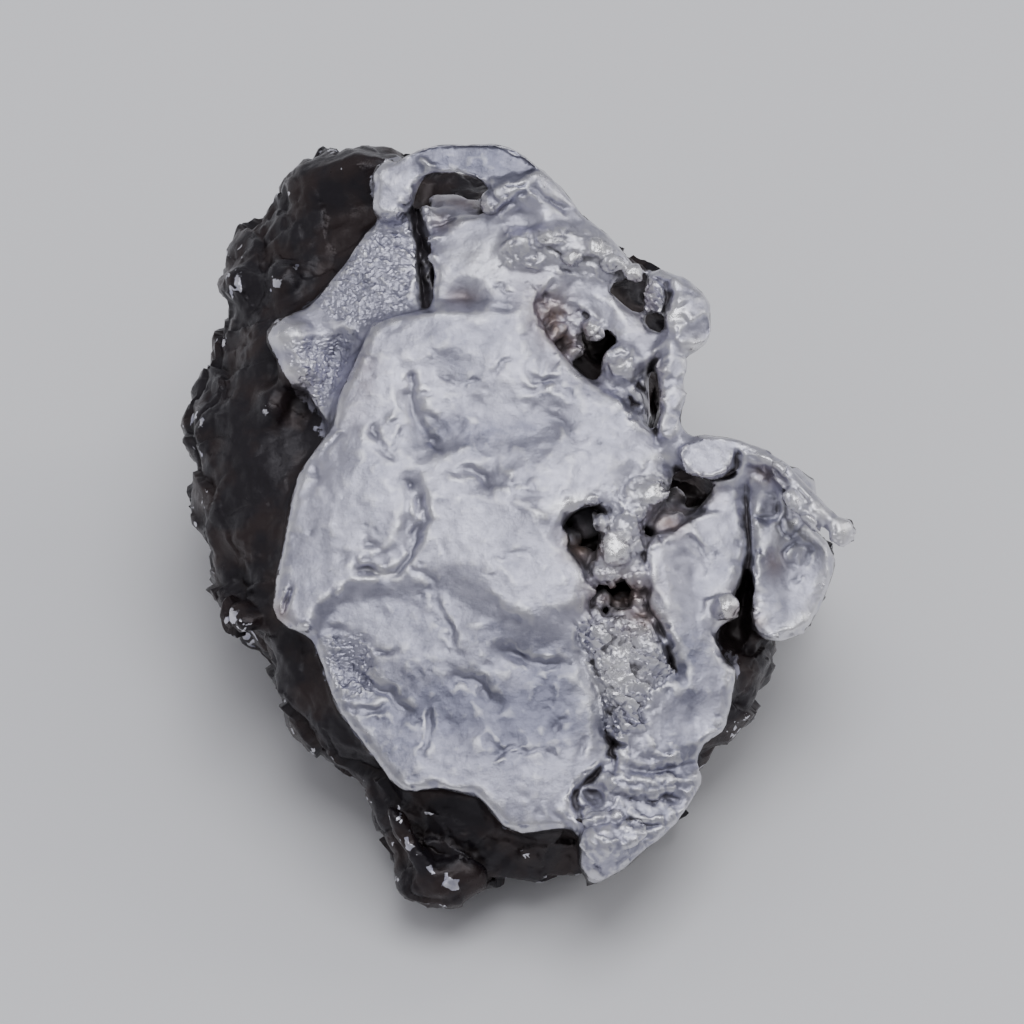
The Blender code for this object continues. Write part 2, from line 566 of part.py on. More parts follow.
def roughen(thing):
    """Waves over the rough sides, and fainter ones over the face."""
    points, normals = read_points(thing.data)
    face = front_share(points)
    push = np.zeros(len(points))
    for size, rough_height, face_height in WAVES:
        wave = np.array([noise.noise(Vector(point) / size) for point in points])
        push += wave * (rough_height * (1.0 - face) + face_height * face)
    points += push[:, None] * normals
    write_points(thing.data, points)


def cut_foot(thing):
    """Cuts the small flat spot that the lump rests on."""
    lump = bmesh.new()
    lump.from_mesh(thing.data)
    everything = list(lump.verts) + list(lump.edges) + list(lump.faces)
    cut = bmesh.ops.bisect_plane(
        lump, geom=everything, plane_co=(0, 0, FLOOR_LEVEL), plane_no=(0, 0, 1), clear_inner=True)
    rim = [item for item in cut["geom_cut"] if isinstance(item, bmesh.types.BMEdge)]
    bmesh.ops.triangle_fill(lump, edges=rim, use_beauty=True, normal=(0, 0, -1))
    lump.to_mesh(thing.data)
    lump.free()
    keep_outer_shell(thing.data)


def thin(thing, triangles):
    count = sum(len(face.vertices) - 2 for face in thing.data.polygons)
    apply_modifier(thing, "DECIMATE", decimate_type="COLLAPSE", ratio=triangles / count, use_collapse_triangulate=True)


def settle(thing):
    """Sets the lump on its foot, with the origin under the middle of its box, and turns it to metres."""
    points, _ = read_points(thing.data)
    low, high = points.min(axis=0), points.max(axis=0)
    middle = (low + high) / 2
    thing["face_middle"] = (-middle[0], -middle[1], -FLOOR_LEVEL)
    write_points(thing.data, (points - (middle[0], middle[1], FLOOR_LEVEL)) * MM)


def metal():
    finish = bpy.data.materials.new("nickel_iron")
    finish.use_nodes = True
    shader = finish.node_tree.nodes["Principled BSDF"]
    shader.inputs["Base Color"].default_value = (*METAL_COLOUR, 1.0)
    shader.inputs["Metallic"].default_value = 1.0
    shader.inputs["Roughness"].default_value = METAL_ROUGHNESS
    return finish


def joined_shapes():
    """The body, plates, rods and lumps, all in one mesh and not yet fused."""
    lump = bmesh.new()
    add_body(lump)
    bmesh.ops.recalc_face_normals(lump, faces=lump.faces)
    add_chips(lump, BVHTree.FromBMesh(lump))
    for level, thickness, outline in PLATES.values():
        add_plate(lump, level, thickness, outline)
    for points in RODS.values():
        add_rod(lump, points)
    for across, up, out, *radii in LUMPS:
        add_lump(lump, face_to_body(across, up, out + middle_plane(up)), radii)
    bmesh.ops.recalc_face_normals(lump, faces=lump.faces)
    mesh = bpy.data.meshes.new("meteorite")
    lump.to_mesh(mesh)
    lump.free()
    return mesh


def build_meteorite():
    meteorite = bpy.data.objects.new("meteorite", joined_shapes())
    bpy.context.scene.collection.objects.link(meteorite)
    remesh(meteorite, VOXEL)
    round_face(meteorite)
    carve_face(meteorite)
    press_thumbprints(meteorite)
    roughen(meteorite)
    remesh(meteorite, VOXEL)
    apply_modifier(meteorite, "SMOOTH", factor=0.5, iterations=SMOOTH_TURNS)
    thin(meteorite, TRIANGLES)
    cut_foot(meteorite)
    settle(meteorite)
    meteorite.data.materials.append(metal())
    meteorite.data.shade_smooth()
    meteorite.data.set_sharp_from_angle(angle=SHARP_EDGE)
    return meteorite


clear_scene()
build_meteorite()
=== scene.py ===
# Iron meteorite: the skin of natural nickel-iron, sculpted and coloured over the fixed solid
import math
import random

import bpy
import numpy as np
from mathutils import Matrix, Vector, noise
from mathutils.bvhtree import BVHTree


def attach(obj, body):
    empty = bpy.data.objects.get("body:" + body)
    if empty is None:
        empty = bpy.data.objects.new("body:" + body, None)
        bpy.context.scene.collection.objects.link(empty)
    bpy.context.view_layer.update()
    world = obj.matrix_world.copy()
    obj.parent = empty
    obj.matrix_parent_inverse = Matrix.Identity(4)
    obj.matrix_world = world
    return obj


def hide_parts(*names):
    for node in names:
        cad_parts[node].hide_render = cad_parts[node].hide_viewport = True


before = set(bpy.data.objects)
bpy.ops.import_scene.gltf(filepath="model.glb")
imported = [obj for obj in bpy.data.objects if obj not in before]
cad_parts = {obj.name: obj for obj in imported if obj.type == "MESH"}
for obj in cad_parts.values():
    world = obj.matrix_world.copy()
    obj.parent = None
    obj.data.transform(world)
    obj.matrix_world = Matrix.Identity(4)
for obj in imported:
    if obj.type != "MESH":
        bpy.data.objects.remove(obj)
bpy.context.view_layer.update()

mm = 0.001

# The face slopes towards the viewer. Places on it are given in millimetres: across, up, and out of it.
face = {
    "elevation": math.radians(49.0),
    "middle": (-0.16, -4.28, 18.0),     # where across, up and out are all zero, in X, Y and Z
    "lean": -0.30,                      # how fast the plates fall back up the face
    "crownAcross": 0.011,
    "crownAlong": 0.004,
    "crownMiddle": (-1.0, -1.0),
    "behind": (-5.0, -2.6),             # heights where the front ends and where it is whole
    "turned": (0.15, 0.55),             # how far a place looks out of the face, as a share
}
faceSin = math.sin(face["elevation"])
faceCos = math.cos(face["elevation"])
outward = np.array((0.0, -faceCos, faceSin))


def selectOnly(thing):
    bpy.ops.object.select_all(action="DESELECT")
    thing.select_set(True)
    bpy.context.view_layer.objects.active = thing


def applyModifier(thing, kind, **settings):
    selectOnly(thing)
    modifier = thing.modifiers.new(kind.lower(), kind)
    for name, value in settings.items():
        setattr(modifier, name, value)
    bpy.ops.object.modifier_apply(modifier=modifier.name)


def readPoints(mesh):
    points = np.empty(len(mesh.vertices) * 3)
    mesh.vertices.foreach_get("co", points)
    normals = np.empty(len(mesh.vertices) * 3)
    mesh.vertex_normals.foreach_get("vector", normals)
    return points.reshape(-1, 3) / mm, normals.reshape(-1, 3)


def writePoints(mesh, points):
    mesh.vertices.foreach_set("co", (points * mm).ravel())
    mesh.update()


def onFace(points):
    moved = points - np.array(face["middle"])
    across = moved[:, 0]
    up = moved[:, 1] * faceSin + moved[:, 2] * faceCos
    out = moved[:, 2] * faceSin - moved[:, 1] * faceCos
    crown = face["crownAcross"] * (across - face["crownMiddle"][0]) ** 2
    crown += face["crownAlong"] * (up - face["crownMiddle"][1]) ** 2
    return across, up, out - face["lean"] * up + crown


# The way back, from places on the face to X, Y and Z
def fromFace(across, up, height):
    crown = face["crownAcross"] * (across - face["crownMiddle"][0]) ** 2
    crown += face["crownAlong"] * (up - face["crownMiddle"][1]) ** 2
    out = height + face["lean"] * up - crown
    middle = face["middle"]
    return np.stack([
        middle[0] + across,
        middle[1] + up * faceSin - out * faceCos,
        middle[2] + up * faceCos + out * faceSin,
    ], axis=1)


def smoothStep(low, high, values):
    share = np.clip((values - low) / (high - low), 0.0, 1.0)
    return share * share * (3.0 - 2.0 * share)


# How far each place is from a path over the face, with a minus sign on the path's right-hand side,
# how far along the path it is, from 0 to 1, and the step to it from the nearest place on the path
def followPath(across, up, path):
    lengths = [math.dist(start, end) for start, end in zip(path, path[1:])]
    nearest = np.full(len(across), np.inf)
    side = np.ones(len(across))
    share = np.zeros(len(across))
    step = np.zeros((2, len(across)))
    passed = 0.0
    for (startAcross, startUp), (endAcross, endUp), length in zip(path, path[1:], lengths):
        runAcross, runUp = (endAcross - startAcross) / length, (endUp - startUp) / length
        offAcross, offUp = across - startAcross, up - startUp
        along = np.clip(offAcross * runAcross + offUp * runUp, 0.0, length)
        stepAcross, stepUp = offAcross - along * runAcross, offUp - along * runUp
        gap = np.hypot(stepAcross, stepUp)
        closer = gap < nearest
        nearest[closer] = gap[closer]
        step[0, closer] = stepAcross[closer]
        step[1, closer] = stepUp[closer]
        side[closer] = np.where(runAcross * offUp - runUp * offAcross < 0.0, -1.0, 1.0)[closer]
        share[closer] = (passed + along[closer]) / sum(lengths)
        passed += length
    return nearest * side, share, step


# 1 well inside an outline, 0 well outside it
def insideShare(across, up, outline, soft):
    inside = np.zeros(len(across), dtype=bool)
    closed = outline + outline[:1]
    for (startAcross, startUp), (endAcross, endUp) in zip(closed, closed[1:]):
        crosses = (startUp > up) != (endUp > up)
        reach = startAcross + (up - startUp) * (endAcross - startAcross) / ((endUp - startUp) or 1e-9)
        inside ^= crosses & (across < reach)
    gap = np.abs(followPath(across, up, closed)[0])
    return smoothStep(-soft, soft, np.where(inside, gap, -gap))


class Neighbours:
    def __init__(self, mesh):
        ends = np.empty(len(mesh.edges) * 2, dtype=np.int64)
        mesh.edges.foreach_get("vertices", ends)
        self.first, self.second = ends.reshape(-1, 2).T
        self.size = len(mesh.vertices)
        self.count = np.bincount(self.first, minlength=self.size)
        self.count += np.bincount(self.second, minlength=self.size)

    def relaxed(self, values, turns):
        for turn in range(turns):
            total = np.bincount(self.first, weights=values[self.second], minlength=self.size)
            total += np.bincount(self.second, weights=values[self.first], minlength=self.size)
            values = 0.5 * values + 0.5 * total / self.count
        return values

    def relaxedPoints(self, points, turns):
        return np.stack([self.relaxed(points[:, axis], turns) for axis in range(3)], axis=1)


# The skin starts as a merged copy of the solid, remade as an even fine mesh
skinSettings = {
    "voxel": 0.00014,
    "mergeDistance": 0.000001,
    "softenTurns": 3,
    "crispTurns": 12,
    "crispness": 0.35,
    "edgeTurns": 30,
    "gentleTurns": 160,
    "triangles": 192000,
    "backTriangles": 50000,
    "backShare": 0.02,                  # less of the face than this counts as back
}
nuggets = (
    # across, up, height of the middle, radius across, radius up, radius out, turn in degrees
    (5.9, -1.9, 0.30, 0.95, 1.05, 0.75, 10),
    (5.3, -3.2, -0.50, 0.95, 0.80, 0.70, -20),
    (4.2, -3.9, -0.70, 0.70, 0.70, 0.60, 0),
    (7.1, -3.3, -0.90, 0.90, 1.00, 0.80, 0),
    (8.0, 1.3, 0.35, 0.85, 0.75, 0.60, 30),
    (6.9, 0.2, 0.10, 0.95, 0.70, 0.60, 40),
    (4.0, -2.3, -1.60, 0.80, 0.65, 0.70, 0),
    (5.0, -4.7, -1.90, 0.80, 0.70, 0.80, 0),
    (7.2, -4.9, -1.60, 0.70, 0.90, 0.70, 0),
    (6.2, -5.7, -1.40, 0.95, 0.60, 0.70, 0),
    (4.6, -5.6, -1.30, 0.60, 0.50, 0.60, 0),
    (8.9, -0.4, -1.20, 0.95, 0.75, 0.50, 20),
    (9.2, 1.0, -2.60, 0.80, 0.70, 0.70, 0),
    (3.7, -6.4, -0.55, 0.60, 0.80, 0.40, 20),
    (4.0, -7.3, -0.85, 0.60, 0.80, 0.50, 20),
    (4.5, -8.4, -0.90, 0.60, 0.85, 0.50, 20),
    (4.85, -9.6, -0.95, 0.60, 0.85, 0.50, 10),
    (5.1, -10.8, -1.00, 0.60, 0.85, 0.50, 0),
    (5.2, -11.9, -1.05, 0.60, 0.80, 0.50, 0),
    (11.1, 3.2, 0.95, 1.75, 1.15, 0.75, -12),
    (15.4, 2.5, 2.50, 0.75, 0.50, 0.50, -40),
    (16.2, 0.9, 2.75, 0.90, 0.75, 0.60, -35),
    (17.2, 0.1, 3.10, 0.95, 0.72, 0.60, -40),
    (18.7, -0.9, 3.45, 0.85, 0.78, 0.66, -20),
    (6.1, -5.0, -2.70, 0.90, 0.80, 0.80, 0),
    (4.2, -0.5, -3.30, 1.10, 1.20, 0.80, 0),
    (3.3, -1.5, -2.60, 0.80, 0.90, 0.80, 0),
    (12.1, -5.2, 0.50, 0.60, 0.80, 0.45, -20),
    (6.6, -18.0, 1.00, 1.15, 0.80, 0.55, 30),
    (4.6, -17.0, 0.55, 0.95, 0.40, 0.50, 10),
    (5.9, -17.1, 0.45, 0.75, 0.50, 0.55, -20),
    (-6.6, 18.6, 0.70, 1.10, 1.00, 0.75, 0),
    (-7.2, 19.6, 0.60, 0.90, 0.70, 0.70, 30),
    (-0.2, 18.9, 1.25, 0.95, 1.05, 0.55, -35),
    (-1.2, 17.9, 0.85, 0.65, 0.80, 0.50, -40),
    (-3.6, 17.9, -2.20, 1.30, 0.60, 0.80, -10),
    (-2.3, 17.6, -1.80, 0.90, 0.55, 0.70, -10),
    (-4.7, 12.6, -2.30, 0.80, 1.50, 0.90, 0),
    (-4.9, 14.5, -2.30, 0.80, 1.60, 0.90, 0),
    (-5.2, 16.3, -2.20, 0.70, 1.40, 0.90, 10),
    (0.4, 15.6, 0.75, 0.65, 0.55, 0.45, 0),
    (2.1, 15.9, 1.10, 0.80, 0.55, 0.55, 10),
    (3.4, 14.8, 0.85, 0.70, 0.60, 0.55, 0),
    (4.7, 15.3, 0.95, 0.65, 0.60, 0.55, 30),
    (5.7, 14.4, 0.75, 0.75, 0.60, 0.60, -20),
    (6.9, 13.8, 0.50, 0.65, 0.60, 0.60, -30),
    (1.2, 14.6, 0.45, 0.60, 0.45, 0.35, 0),
    (1.8, 12.2, -1.30, 0.80, 0.85, 0.70, 0),
    (2.6, 11.2, -1.50, 0.90, 0.80, 0.70, 0),
    (3.3, 10.2, -1.70, 0.80, 0.80, 0.70, 0),
    (4.6, 10.7, -0.60, 0.60, 0.75, 0.60, 0),
    (2.3, 12.1, -0.95, 0.80, 0.60, 0.60, -20),
    (3.1, 11.9, -1.20, 0.80, 0.60, 0.60, -20),
    (3.6, 11.0, -1.30, 0.80, 0.80, 0.60, 0),
    (1.7, 11.5, -0.85, 0.55, 0.75, 0.55, -40),
    (2.5, 10.4, -1.00, 0.55, 0.80, 0.60, -40),
    (3.5, 9.4, -1.25, 0.55, 0.80, 0.60, -45),
    (2.6, 0.2, 0.10, 0.50, 0.45, 0.40, 0),
    (3.3, 0.9, 0.15, 0.60, 0.40, 0.40, 20),
    (4.5, 0.9, 0.10, 0.55, 0.40, 0.40, 0),
    (2.9, -1.3, -0.10, 0.40, 0.60, 0.50, 15),
    (5.0, -0.4, -0.10, 0.50, 0.60, 0.60, 0),
    (3.5, -3.0, -0.20, 0.50, 0.50, 0.50, 0),
    (4.2, -4.2, -0.40, 0.50, 0.60, 0.50, 0),
    (10.4, 2.6, 0.10, 0.70, 0.45, 0.50, 0),
    (9.1, 8.5, 0.80, 0.95, 1.00, 0.50, 0),
    (9.15, 6.8, 0.70, 0.78, 0.95, 0.45, 0),
    (9.0, 5.2, 0.65, 0.72, 1.00, 0.45, 0),
    (-4.35, 15.85, -0.15, 0.50, 0.26, 0.35, 10),
    (-4.30, 14.75, -0.15, 0.50, 0.26, 0.35, -10),
    (6.3, 8.6, 0.10, 0.85, 0.70, 0.50, 0),
)


nuggetShape = {
    "rounds": 2,
    "swell": 0.35,
    "swellSize": 0.8,
    "apart": 5.3,                       # keeps one nugget's noise apart from the next one's
}


# Rough crystals and lumps that are joined to the solid's copy before it is remade
def makeNuggets(skin):
    made = [skin]
    for number, (midAcross, midUp, midHeight, radiusAcross, radiusUp, radiusOut, turn) in enumerate(nuggets):
        bpy.ops.object.select_all(action="DESELECT")
        bpy.ops.mesh.primitive_ico_sphere_add(
            subdivisions=nuggetShape["rounds"], radius=1.0, location=(0, 0, 0))
        nugget = bpy.context.active_object
        unit = readPoints(nugget.data)[0] * mm
        swell = waveHeights(unit, nuggetShape["swellSize"], nuggetShape["apart"] * number)
        unit *= 1.0 + nuggetShape["swell"] * swell[:, None]
        turned = math.radians(turn)
        wide, tall = unit[:, 0] * radiusAcross, unit[:, 1] * radiusUp
        across = midAcross + wide * math.cos(turned) - tall * math.sin(turned)
        up = midUp + wide * math.sin(turned) + tall * math.cos(turned)
        writePoints(nugget.data, fromFace(across, up, midHeight + unit[:, 2] * radiusOut))
        made.append(nugget)
    bpy.ops.object.select_all(action="DESELECT")
    for thing in made:
        thing.select_set(True)
    bpy.context.view_layer.objects.active = skin
    bpy.ops.object.join()


# Narrows a gap in the face to part of its width, and stretches what lies beside it
pinches = (
    # share of the width kept, half width now, how far the stretch reaches, and the path along the gap
    (0.62, 0.70, 2.4, ((-5.7, 17.9), (-5.2, 15.9), (-4.9, 13.5), (-4.7, 11.4))),
    (0.50, 0.40, 1.6, ((7.5, -4.4), (8.1, -6.0), (8.7, -7.4), (9.3, -9.6))),
    (0.45, 0.40, 1.6, ((13.3, 2.4), (13.4, 0.4), (13.5, -1.4), (13.55, -3.2))),
    (0.62, 0.70, 1.9, ((13.5, -2.6), (13.4, -4.4), (13.2, -6.4), (13.0, -8.2))),
)

pinchPlace = {
    "behind": (-6.0, -4.0),             # heights where a pinch begins and where it is whole
    "ends": 0.12,                       # share of the path over which it fades
}


# Steps in the face that slope gently: path and reach to each side
gentleSteps = (
    (((-6.6, -3.4), (-3.8, -2.7), (-0.7, -4.9), (1.5, -6.2), (3.2, -6.3)), 1.7),
)


def softenSteps(skin):
    points, normals = readPoints(skin.data)
    across, up, _ = onFace(points)
    soft = Neighbours(skin.data).relaxedPoints(points, skinSettings["gentleTurns"])
    for path, reach in gentleSteps:
        gap, _, _ = followPath(across, up, path)
        part = smoothStep(reach, 0.4 * reach, np.abs(gap)) * faceShare(points, normals)
        points += part[:, None] * (soft - points)
    writePoints(skin.data, points)


def pinchGaps(skin):
    points, normals = readPoints(skin.data)
    across, up, height = onFace(points)
    front = smoothStep(*pinchPlace["behind"], height)
    for kept, halfWidth, reach, path in pinches:
        gap, share, step = followPath(across, up, path)
        gap = np.abs(gap)
        inside = gap * kept
        beside = halfWidth * kept + (gap - halfWidth) * (reach - halfWidth * kept) / (reach - halfWidth)
        wanted = np.where(gap < halfWidth, inside, np.where(gap < reach, beside, gap))
        pull = (wanted / np.maximum(gap, 1e-6) - 1.0) * front
        pull *= smoothStep(0.0, pinchPlace["ends"], share) * smoothStep(1.0, 1.0 - pinchPlace["ends"], share)
        points[:, 0] += pull * step[0]
        points[:, 1] += pull * step[1] * faceSin
        points[:, 2] += pull * step[1] * faceCos
        across, up = across + pull * step[0], up + pull * step[1]
    writePoints(skin.data, points)


def makeSkin():
    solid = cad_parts["meteorite"]
    skin = bpy.data.objects.new("meteorite_skin", solid.data.copy())
    bpy.context.scene.collection.objects.link(skin)
    selectOnly(skin)
    bpy.ops.object.mode_set(mode="EDIT")
    bpy.ops.mesh.select_all(action="SELECT")
    bpy.ops.mesh.remove_doubles(threshold=skinSettings["mergeDistance"])
    bpy.ops.object.mode_set(mode="OBJECT")
    makeNuggets(skin)
    applyModifier(skin, "REMESH", mode="VOXEL", voxel_size=skinSettings["voxel"], adaptivity=0.0)
    applyModifier(skin, "SMOOTH", factor=0.5, iterations=skinSettings["softenTurns"])
    softenSteps(skin)
    pinchGaps(skin)
    points, normals = readPoints(skin.data)
    soft = Neighbours(skin.data).relaxedPoints(points, skinSettings["crispTurns"])
    writePoints(skin.data, points + skinSettings["crispness"] * (points - soft))
    print("skin:", len(skin.data.vertices), "points")
    return skin


# The sides and back are thinned first and most, so that the face keeps its fine detail
def thinSkin(skin):
    points, normals = readPoints(skin.data)
    share = faceShare(points, normals)
    group = skin.vertex_groups.new(name="back")
    group.add(np.flatnonzero(share < skinSettings["backShare"]).tolist(), 1.0, "REPLACE")
    applyModifier(skin, "TRIANGULATE")
    mesh = skin.data
    corners = np.empty(len(mesh.polygons) * 3, dtype=np.int64)
    mesh.polygons.foreach_get("vertices", corners)
    behind = int((share[corners.reshape(-1, 3)] < skinSettings["backShare"]).all(axis=1).sum())
    total = len(mesh.polygons)
    ratio = min(1.0, (total - behind + skinSettings["backTriangles"]) / total)
    applyModifier(skin, "DECIMATE", ratio=ratio, vertex_group="back", vertex_group_factor=1.0)
    print("skin thinned behind:", total, "triangles,", behind, "behind, now", len(skin.data.polygons))
    skin.vertex_groups.remove(skin.vertex_groups["back"])
    ratio = min(1.0, skinSettings["triangles"] / len(skin.data.polygons))
    applyModifier(skin, "DECIMATE", ratio=ratio)
    print("skin thinned to", len(skin.data.polygons), "triangles")


# Forms of the face. Lengths, depths and heights are in millimetres.
hollows = (
    # across, up, radius across, radius up, turn in degrees, depth
    (0.0, 4.6, 5.5, 1.5, 2, 0.22),
    (-5.5, 5.9, 0.45, 1.3, 8, 0.22),
    (-6.2, 6.9, 0.30, 0.30, 0, 0.15),
    (-4.5, 4.2, 0.80, 0.32, -25, 0.24),
    (-3.6, 7.8, 0.50, 0.18, -30, 0.14),
    (-2.1, 7.6, 0.35, 0.22, 0, 0.10),
    (-5.8, 1.9, 0.38, 0.28, -40, 0.22),
    (-2.4, 2.6, 0.40, 0.35, 0, 0.14),
    (-1.5, 2.0, 0.33, 0.65, 25, 0.22),
    (0.8, 2.0, 0.50, 0.22, 20, 0.10),
    (1.3, 1.2, 0.65, 0.25, -5, 0.12),
    (2.5, 5.5, 0.55, 0.45, -20, 0.10),
    (-11.1, 2.5, 0.40, 0.50, 30, 0.18),
    (-8.1, -1.6, 0.60, 0.25, -10, 0.10),
    (-9.3, -2.4, 0.40, 0.25, 0, 0.10),
    (-2.8, 12.5, 1.30, 0.60, 0, 0.06),
    (-9.2, -8.4, 1.20, 1.30, 0, 0.20),
    (-9.9, -6.4, 0.50, 0.25, 0, 0.14),
    (-7.2, -7.6, 0.55, 0.20, 0, 0.20),
    (0.0, -7.7, 0.55, 0.25, -15, 0.08),
    (2.5, -11.8, 0.50, 0.50, 0, 0.12),
    (14.4, 2.4, 0.80, 0.40, -15, 0.60),
    (14.6, 0.4, 0.60, 0.80, 30, 0.14),
    (4.8, -15.8, 0.80, 0.50, -10, 0.35),
)
bumps = (
    # across, up, radius across, radius up, turn in degrees, height
    (-7.0, 5.65, 0.55, 0.25, 35, 0.14),
    (-0.1, 2.3, 0.35, 0.28, 20, 0.12),
    (-5.4, 0.1, 0.35, 0.80, 12, 0.10),
    (-9.8, -4.3, 0.45, 0.25, 45, 0.14),
    (-11.8, -6.4, 0.40, 0.35, 0, 0.14),
    (-12.9, -4.4, 0.25, 0.40, -20, 0.14),
    (6.2, 8.3, 0.40, 0.35, 0, 0.20),
    (0.4, 15.7, 0.40, 0.35, 0, 0.20),
    (2.2, 15.7, 0.45, 0.40, 0, 0.22),
    (3.8, 14.7, 0.35, 0.35, 0, 0.22),
    (5.2, 15.0, 0.55, 0.30, 40, 0.22),
    (12.0, -5.3, 0.50, 0.45, 20, 0.20),
    (7.3, -7.4, 0.50, 0.45, -20, 0.28),
)
creases = (
    # width, depth, lip on the left and on the right going along the path, and the path
    (0.22, 0.50, 0.05, 0.05, (
        (-5.9, 18.4), (-5.4, 17.0), (-5.1, 15.9), (-5.0, 15.0), (-4.9, 13.5), (-4.8, 11.8))),
    (0.22, 0.26, 0.04, 0.10, ((-6.0, 8.5), (-5.75, 7.5), (-5.7, 6.7))),
    (0.18, 0.14, 0.03, 0.03, ((-8.0, 5.6), (-8.1, 4.7), (-7.7, 4.1), (-7.2, 3.7), (-6.5, 3.0))),
    (0.20, 0.18, 0.01, 0.05, (
        (-5.4, 1.9), (-5.1, 0.6), (-4.9, -0.3), (-5.1, -1.0), (-5.5, -1.9), (-6.1, -2.6), (-6.7, -3.1),
        (-7.5, -3.5))),
    (0.22, 0.18, 0.02, 0.08, ((-7.4, -3.2), (-8.0, -3.0), (-8.8, -3.0))),
    (0.24, 0.30, 0.05, 0.05, ((-4.7, 16.2), (-3.9, 16.8), (-3.0, 17.4))),
    (0.20, 0.22, 0.06, 0.04, ((-1.0, 16.9), (0.0, 17.8), (1.0, 18.7))),
    (0.20, 0.09, 0.03, 0.03, ((-4.7, -3.0), (-4.5, -4.2), (-4.1, -5.2), (-3.6, -6.4), (-3.1, -7.5))),
    (0.14, 0.14, 0.04, 0.04, (
        (3.3, -5.8), (3.8, -7.2), (4.5, -8.2), (4.8, -9.6), (5.2, -10.6), (5.1, -12.2))),
    (0.18, 0.55, 0.08, 0.05, ((5.1, -12.0), (5.6, -12.8), (5.5, -13.6), (5.9, -14.6))),
    (0.18, 0.50, 0.04, 0.05, ((5.5, -12.7), (6.5, -13.1))),
    (0.20, 0.40, 0.05, 0.14, ((5.3, -14.2), (4.2, -14.9), (3.7, -15.6), (3.5, -16.4), (3.8, -17.4))),
    (0.20, 0.11, 0.05, 0.03, ((-3.2, -9.0), (-2.0, -9.4), (-1.0, -10.5))),
    (0.20, 0.12, 0.05, 0.04, ((-9.2, -8.8), (-8.0, -9.5), (-7.0, -10.0), (-5.8, -11.1))),
    (0.20, 0.10, 0.04, 0.04, ((-9.7, -10.9), (-8.2, -11.0), (-6.8, -10.9))),
    (0.20, 0.09, 0.06, 0.02, ((-1.0, -7.0), (-0.5, -7.7), (0.5, -8.0), (1.8, -8.4), (3.2, -8.3))),
    (0.18, 0.18, 0.06, 0.04, ((1.0, 19.1), (2.0, 18.2), (2.8, 17.7), (3.6, 17.4))),
    (0.16, 0.30, 0.04, 0.04, ((7.5, 0.4), (7.4, -0.8), (7.6, -1.8), (7.1, -2.9))),
    (0.16, 0.30, 0.05, 0.05, ((7.6, -4.8), (8.2, -6.0), (8.8, -7.2), (9.4, -9.0))),
    (0.24, 0.20, 0.10, 0.04, ((5.8, -14.2), (8.0, -14.6), (10.6, -14.1))),
    (0.22, 0.18, 0.10, 0.04, ((5.8, -15.8), (7.6, -16.2), (9.6, -15.8))),
    (0.22, 0.18, 0.10, 0.04, ((6.0, -17.1), (7.4, -17.5), (8.6, -17.6))),
    (0.22, 0.60, 0.04, 0.04, ((8.7, 9.4), (8.0, 8.5), (8.0, 7.4), (8.15, 5.8), (8.1, 4.0))),
    (0.20, 0.34, 0.04, 0.04, ((6.3, 6.9), (7.3, 6.0), (7.9, 4.8))),
    (0.20, 0.30, 0.04, 0.04, ((6.8, 7.9), (7.6, 7.0), (8.0, 5.9))),
    (0.22, 0.12, 0.05, 0.05, (
        (13.2, 2.1), (13.2, 0.2), (13.4, -0.6), (13.6, -1.6), (13.4, -3.0), (13.2, -4.4))),
    (0.20, 0.50, 0.04, 0.04, ((9.1, 2.8), (9.9, 2.0), (11.0, 1.8), (12.4, 2.4), (12.9, 3.2), (12.8, 4.0))),
    (0.18, 0.16, 0.04, 0.04, ((13.3, 3.4), (14.6, 2.9), (15.4, 2.2), (16.3, 0.9), (17.2, 0.0), (17.9, -0.8))),
    (0.24, 0.75, 0.05, 0.08, ((7.9, 13.7), (8.7, 13.2), (9.1, 12.5), (8.8, 11.8), (8.4, 11.2))),
    (0.18, 0.14, 0.04, 0.04, ((10.0, -1.0), (10.6, -2.0), (11.2, -3.1))),
    (0.18, 0.22, 0.04, 0.08, ((-12.5, -4.0), (-12.8, -4.8), (-13.0, -5.6))),
    (0.18, 0.06, 0.03, 0.03, ((-4.8, -10.6), (-4.6, -12.2), (-4.9, -14.0))),
    (0.18, 0.06, 0.03, 0.02, ((-1.9, -12.6), (-0.4, -13.4), (1.6, -13.2), (3.2, -14.2))),
    (0.18, 0.10, 0.03, 0.03, ((0.6, 8.2), (2.2, 7.6), (3.6, 6.6))),
)
ridges = (
    # width, height, and the path
    (0.30, 0.10, ((0.2, 1.0), (1.0, 0.5), (2.0, -0.2))),
    (0.35, 0.12, ((-1.6, -4.1), (0.0, -5.2), (1.2, -5.8))),
    (0.30, 0.16, ((2.3, 16.5), (3.3, 16.2), (4.5, 16.2))),
    (0.30, 0.12, ((2.4, 0.3), (3.4, 0.5), (4.2, 0.9), (5.1, 0.8))),
    (0.30, 0.14, ((14.2, -6.9), (15.6, -6.7), (16.4, -6.4), (16.9, -5.4))),
    (0.45, 0.08, ((-4.2, 7.2), (-2.8, 5.9), (-1.8, 4.6))),
    (0.30, 0.10, ((10.4, -12.8), (11.4, -12.6), (12.1, -12.2))),
)
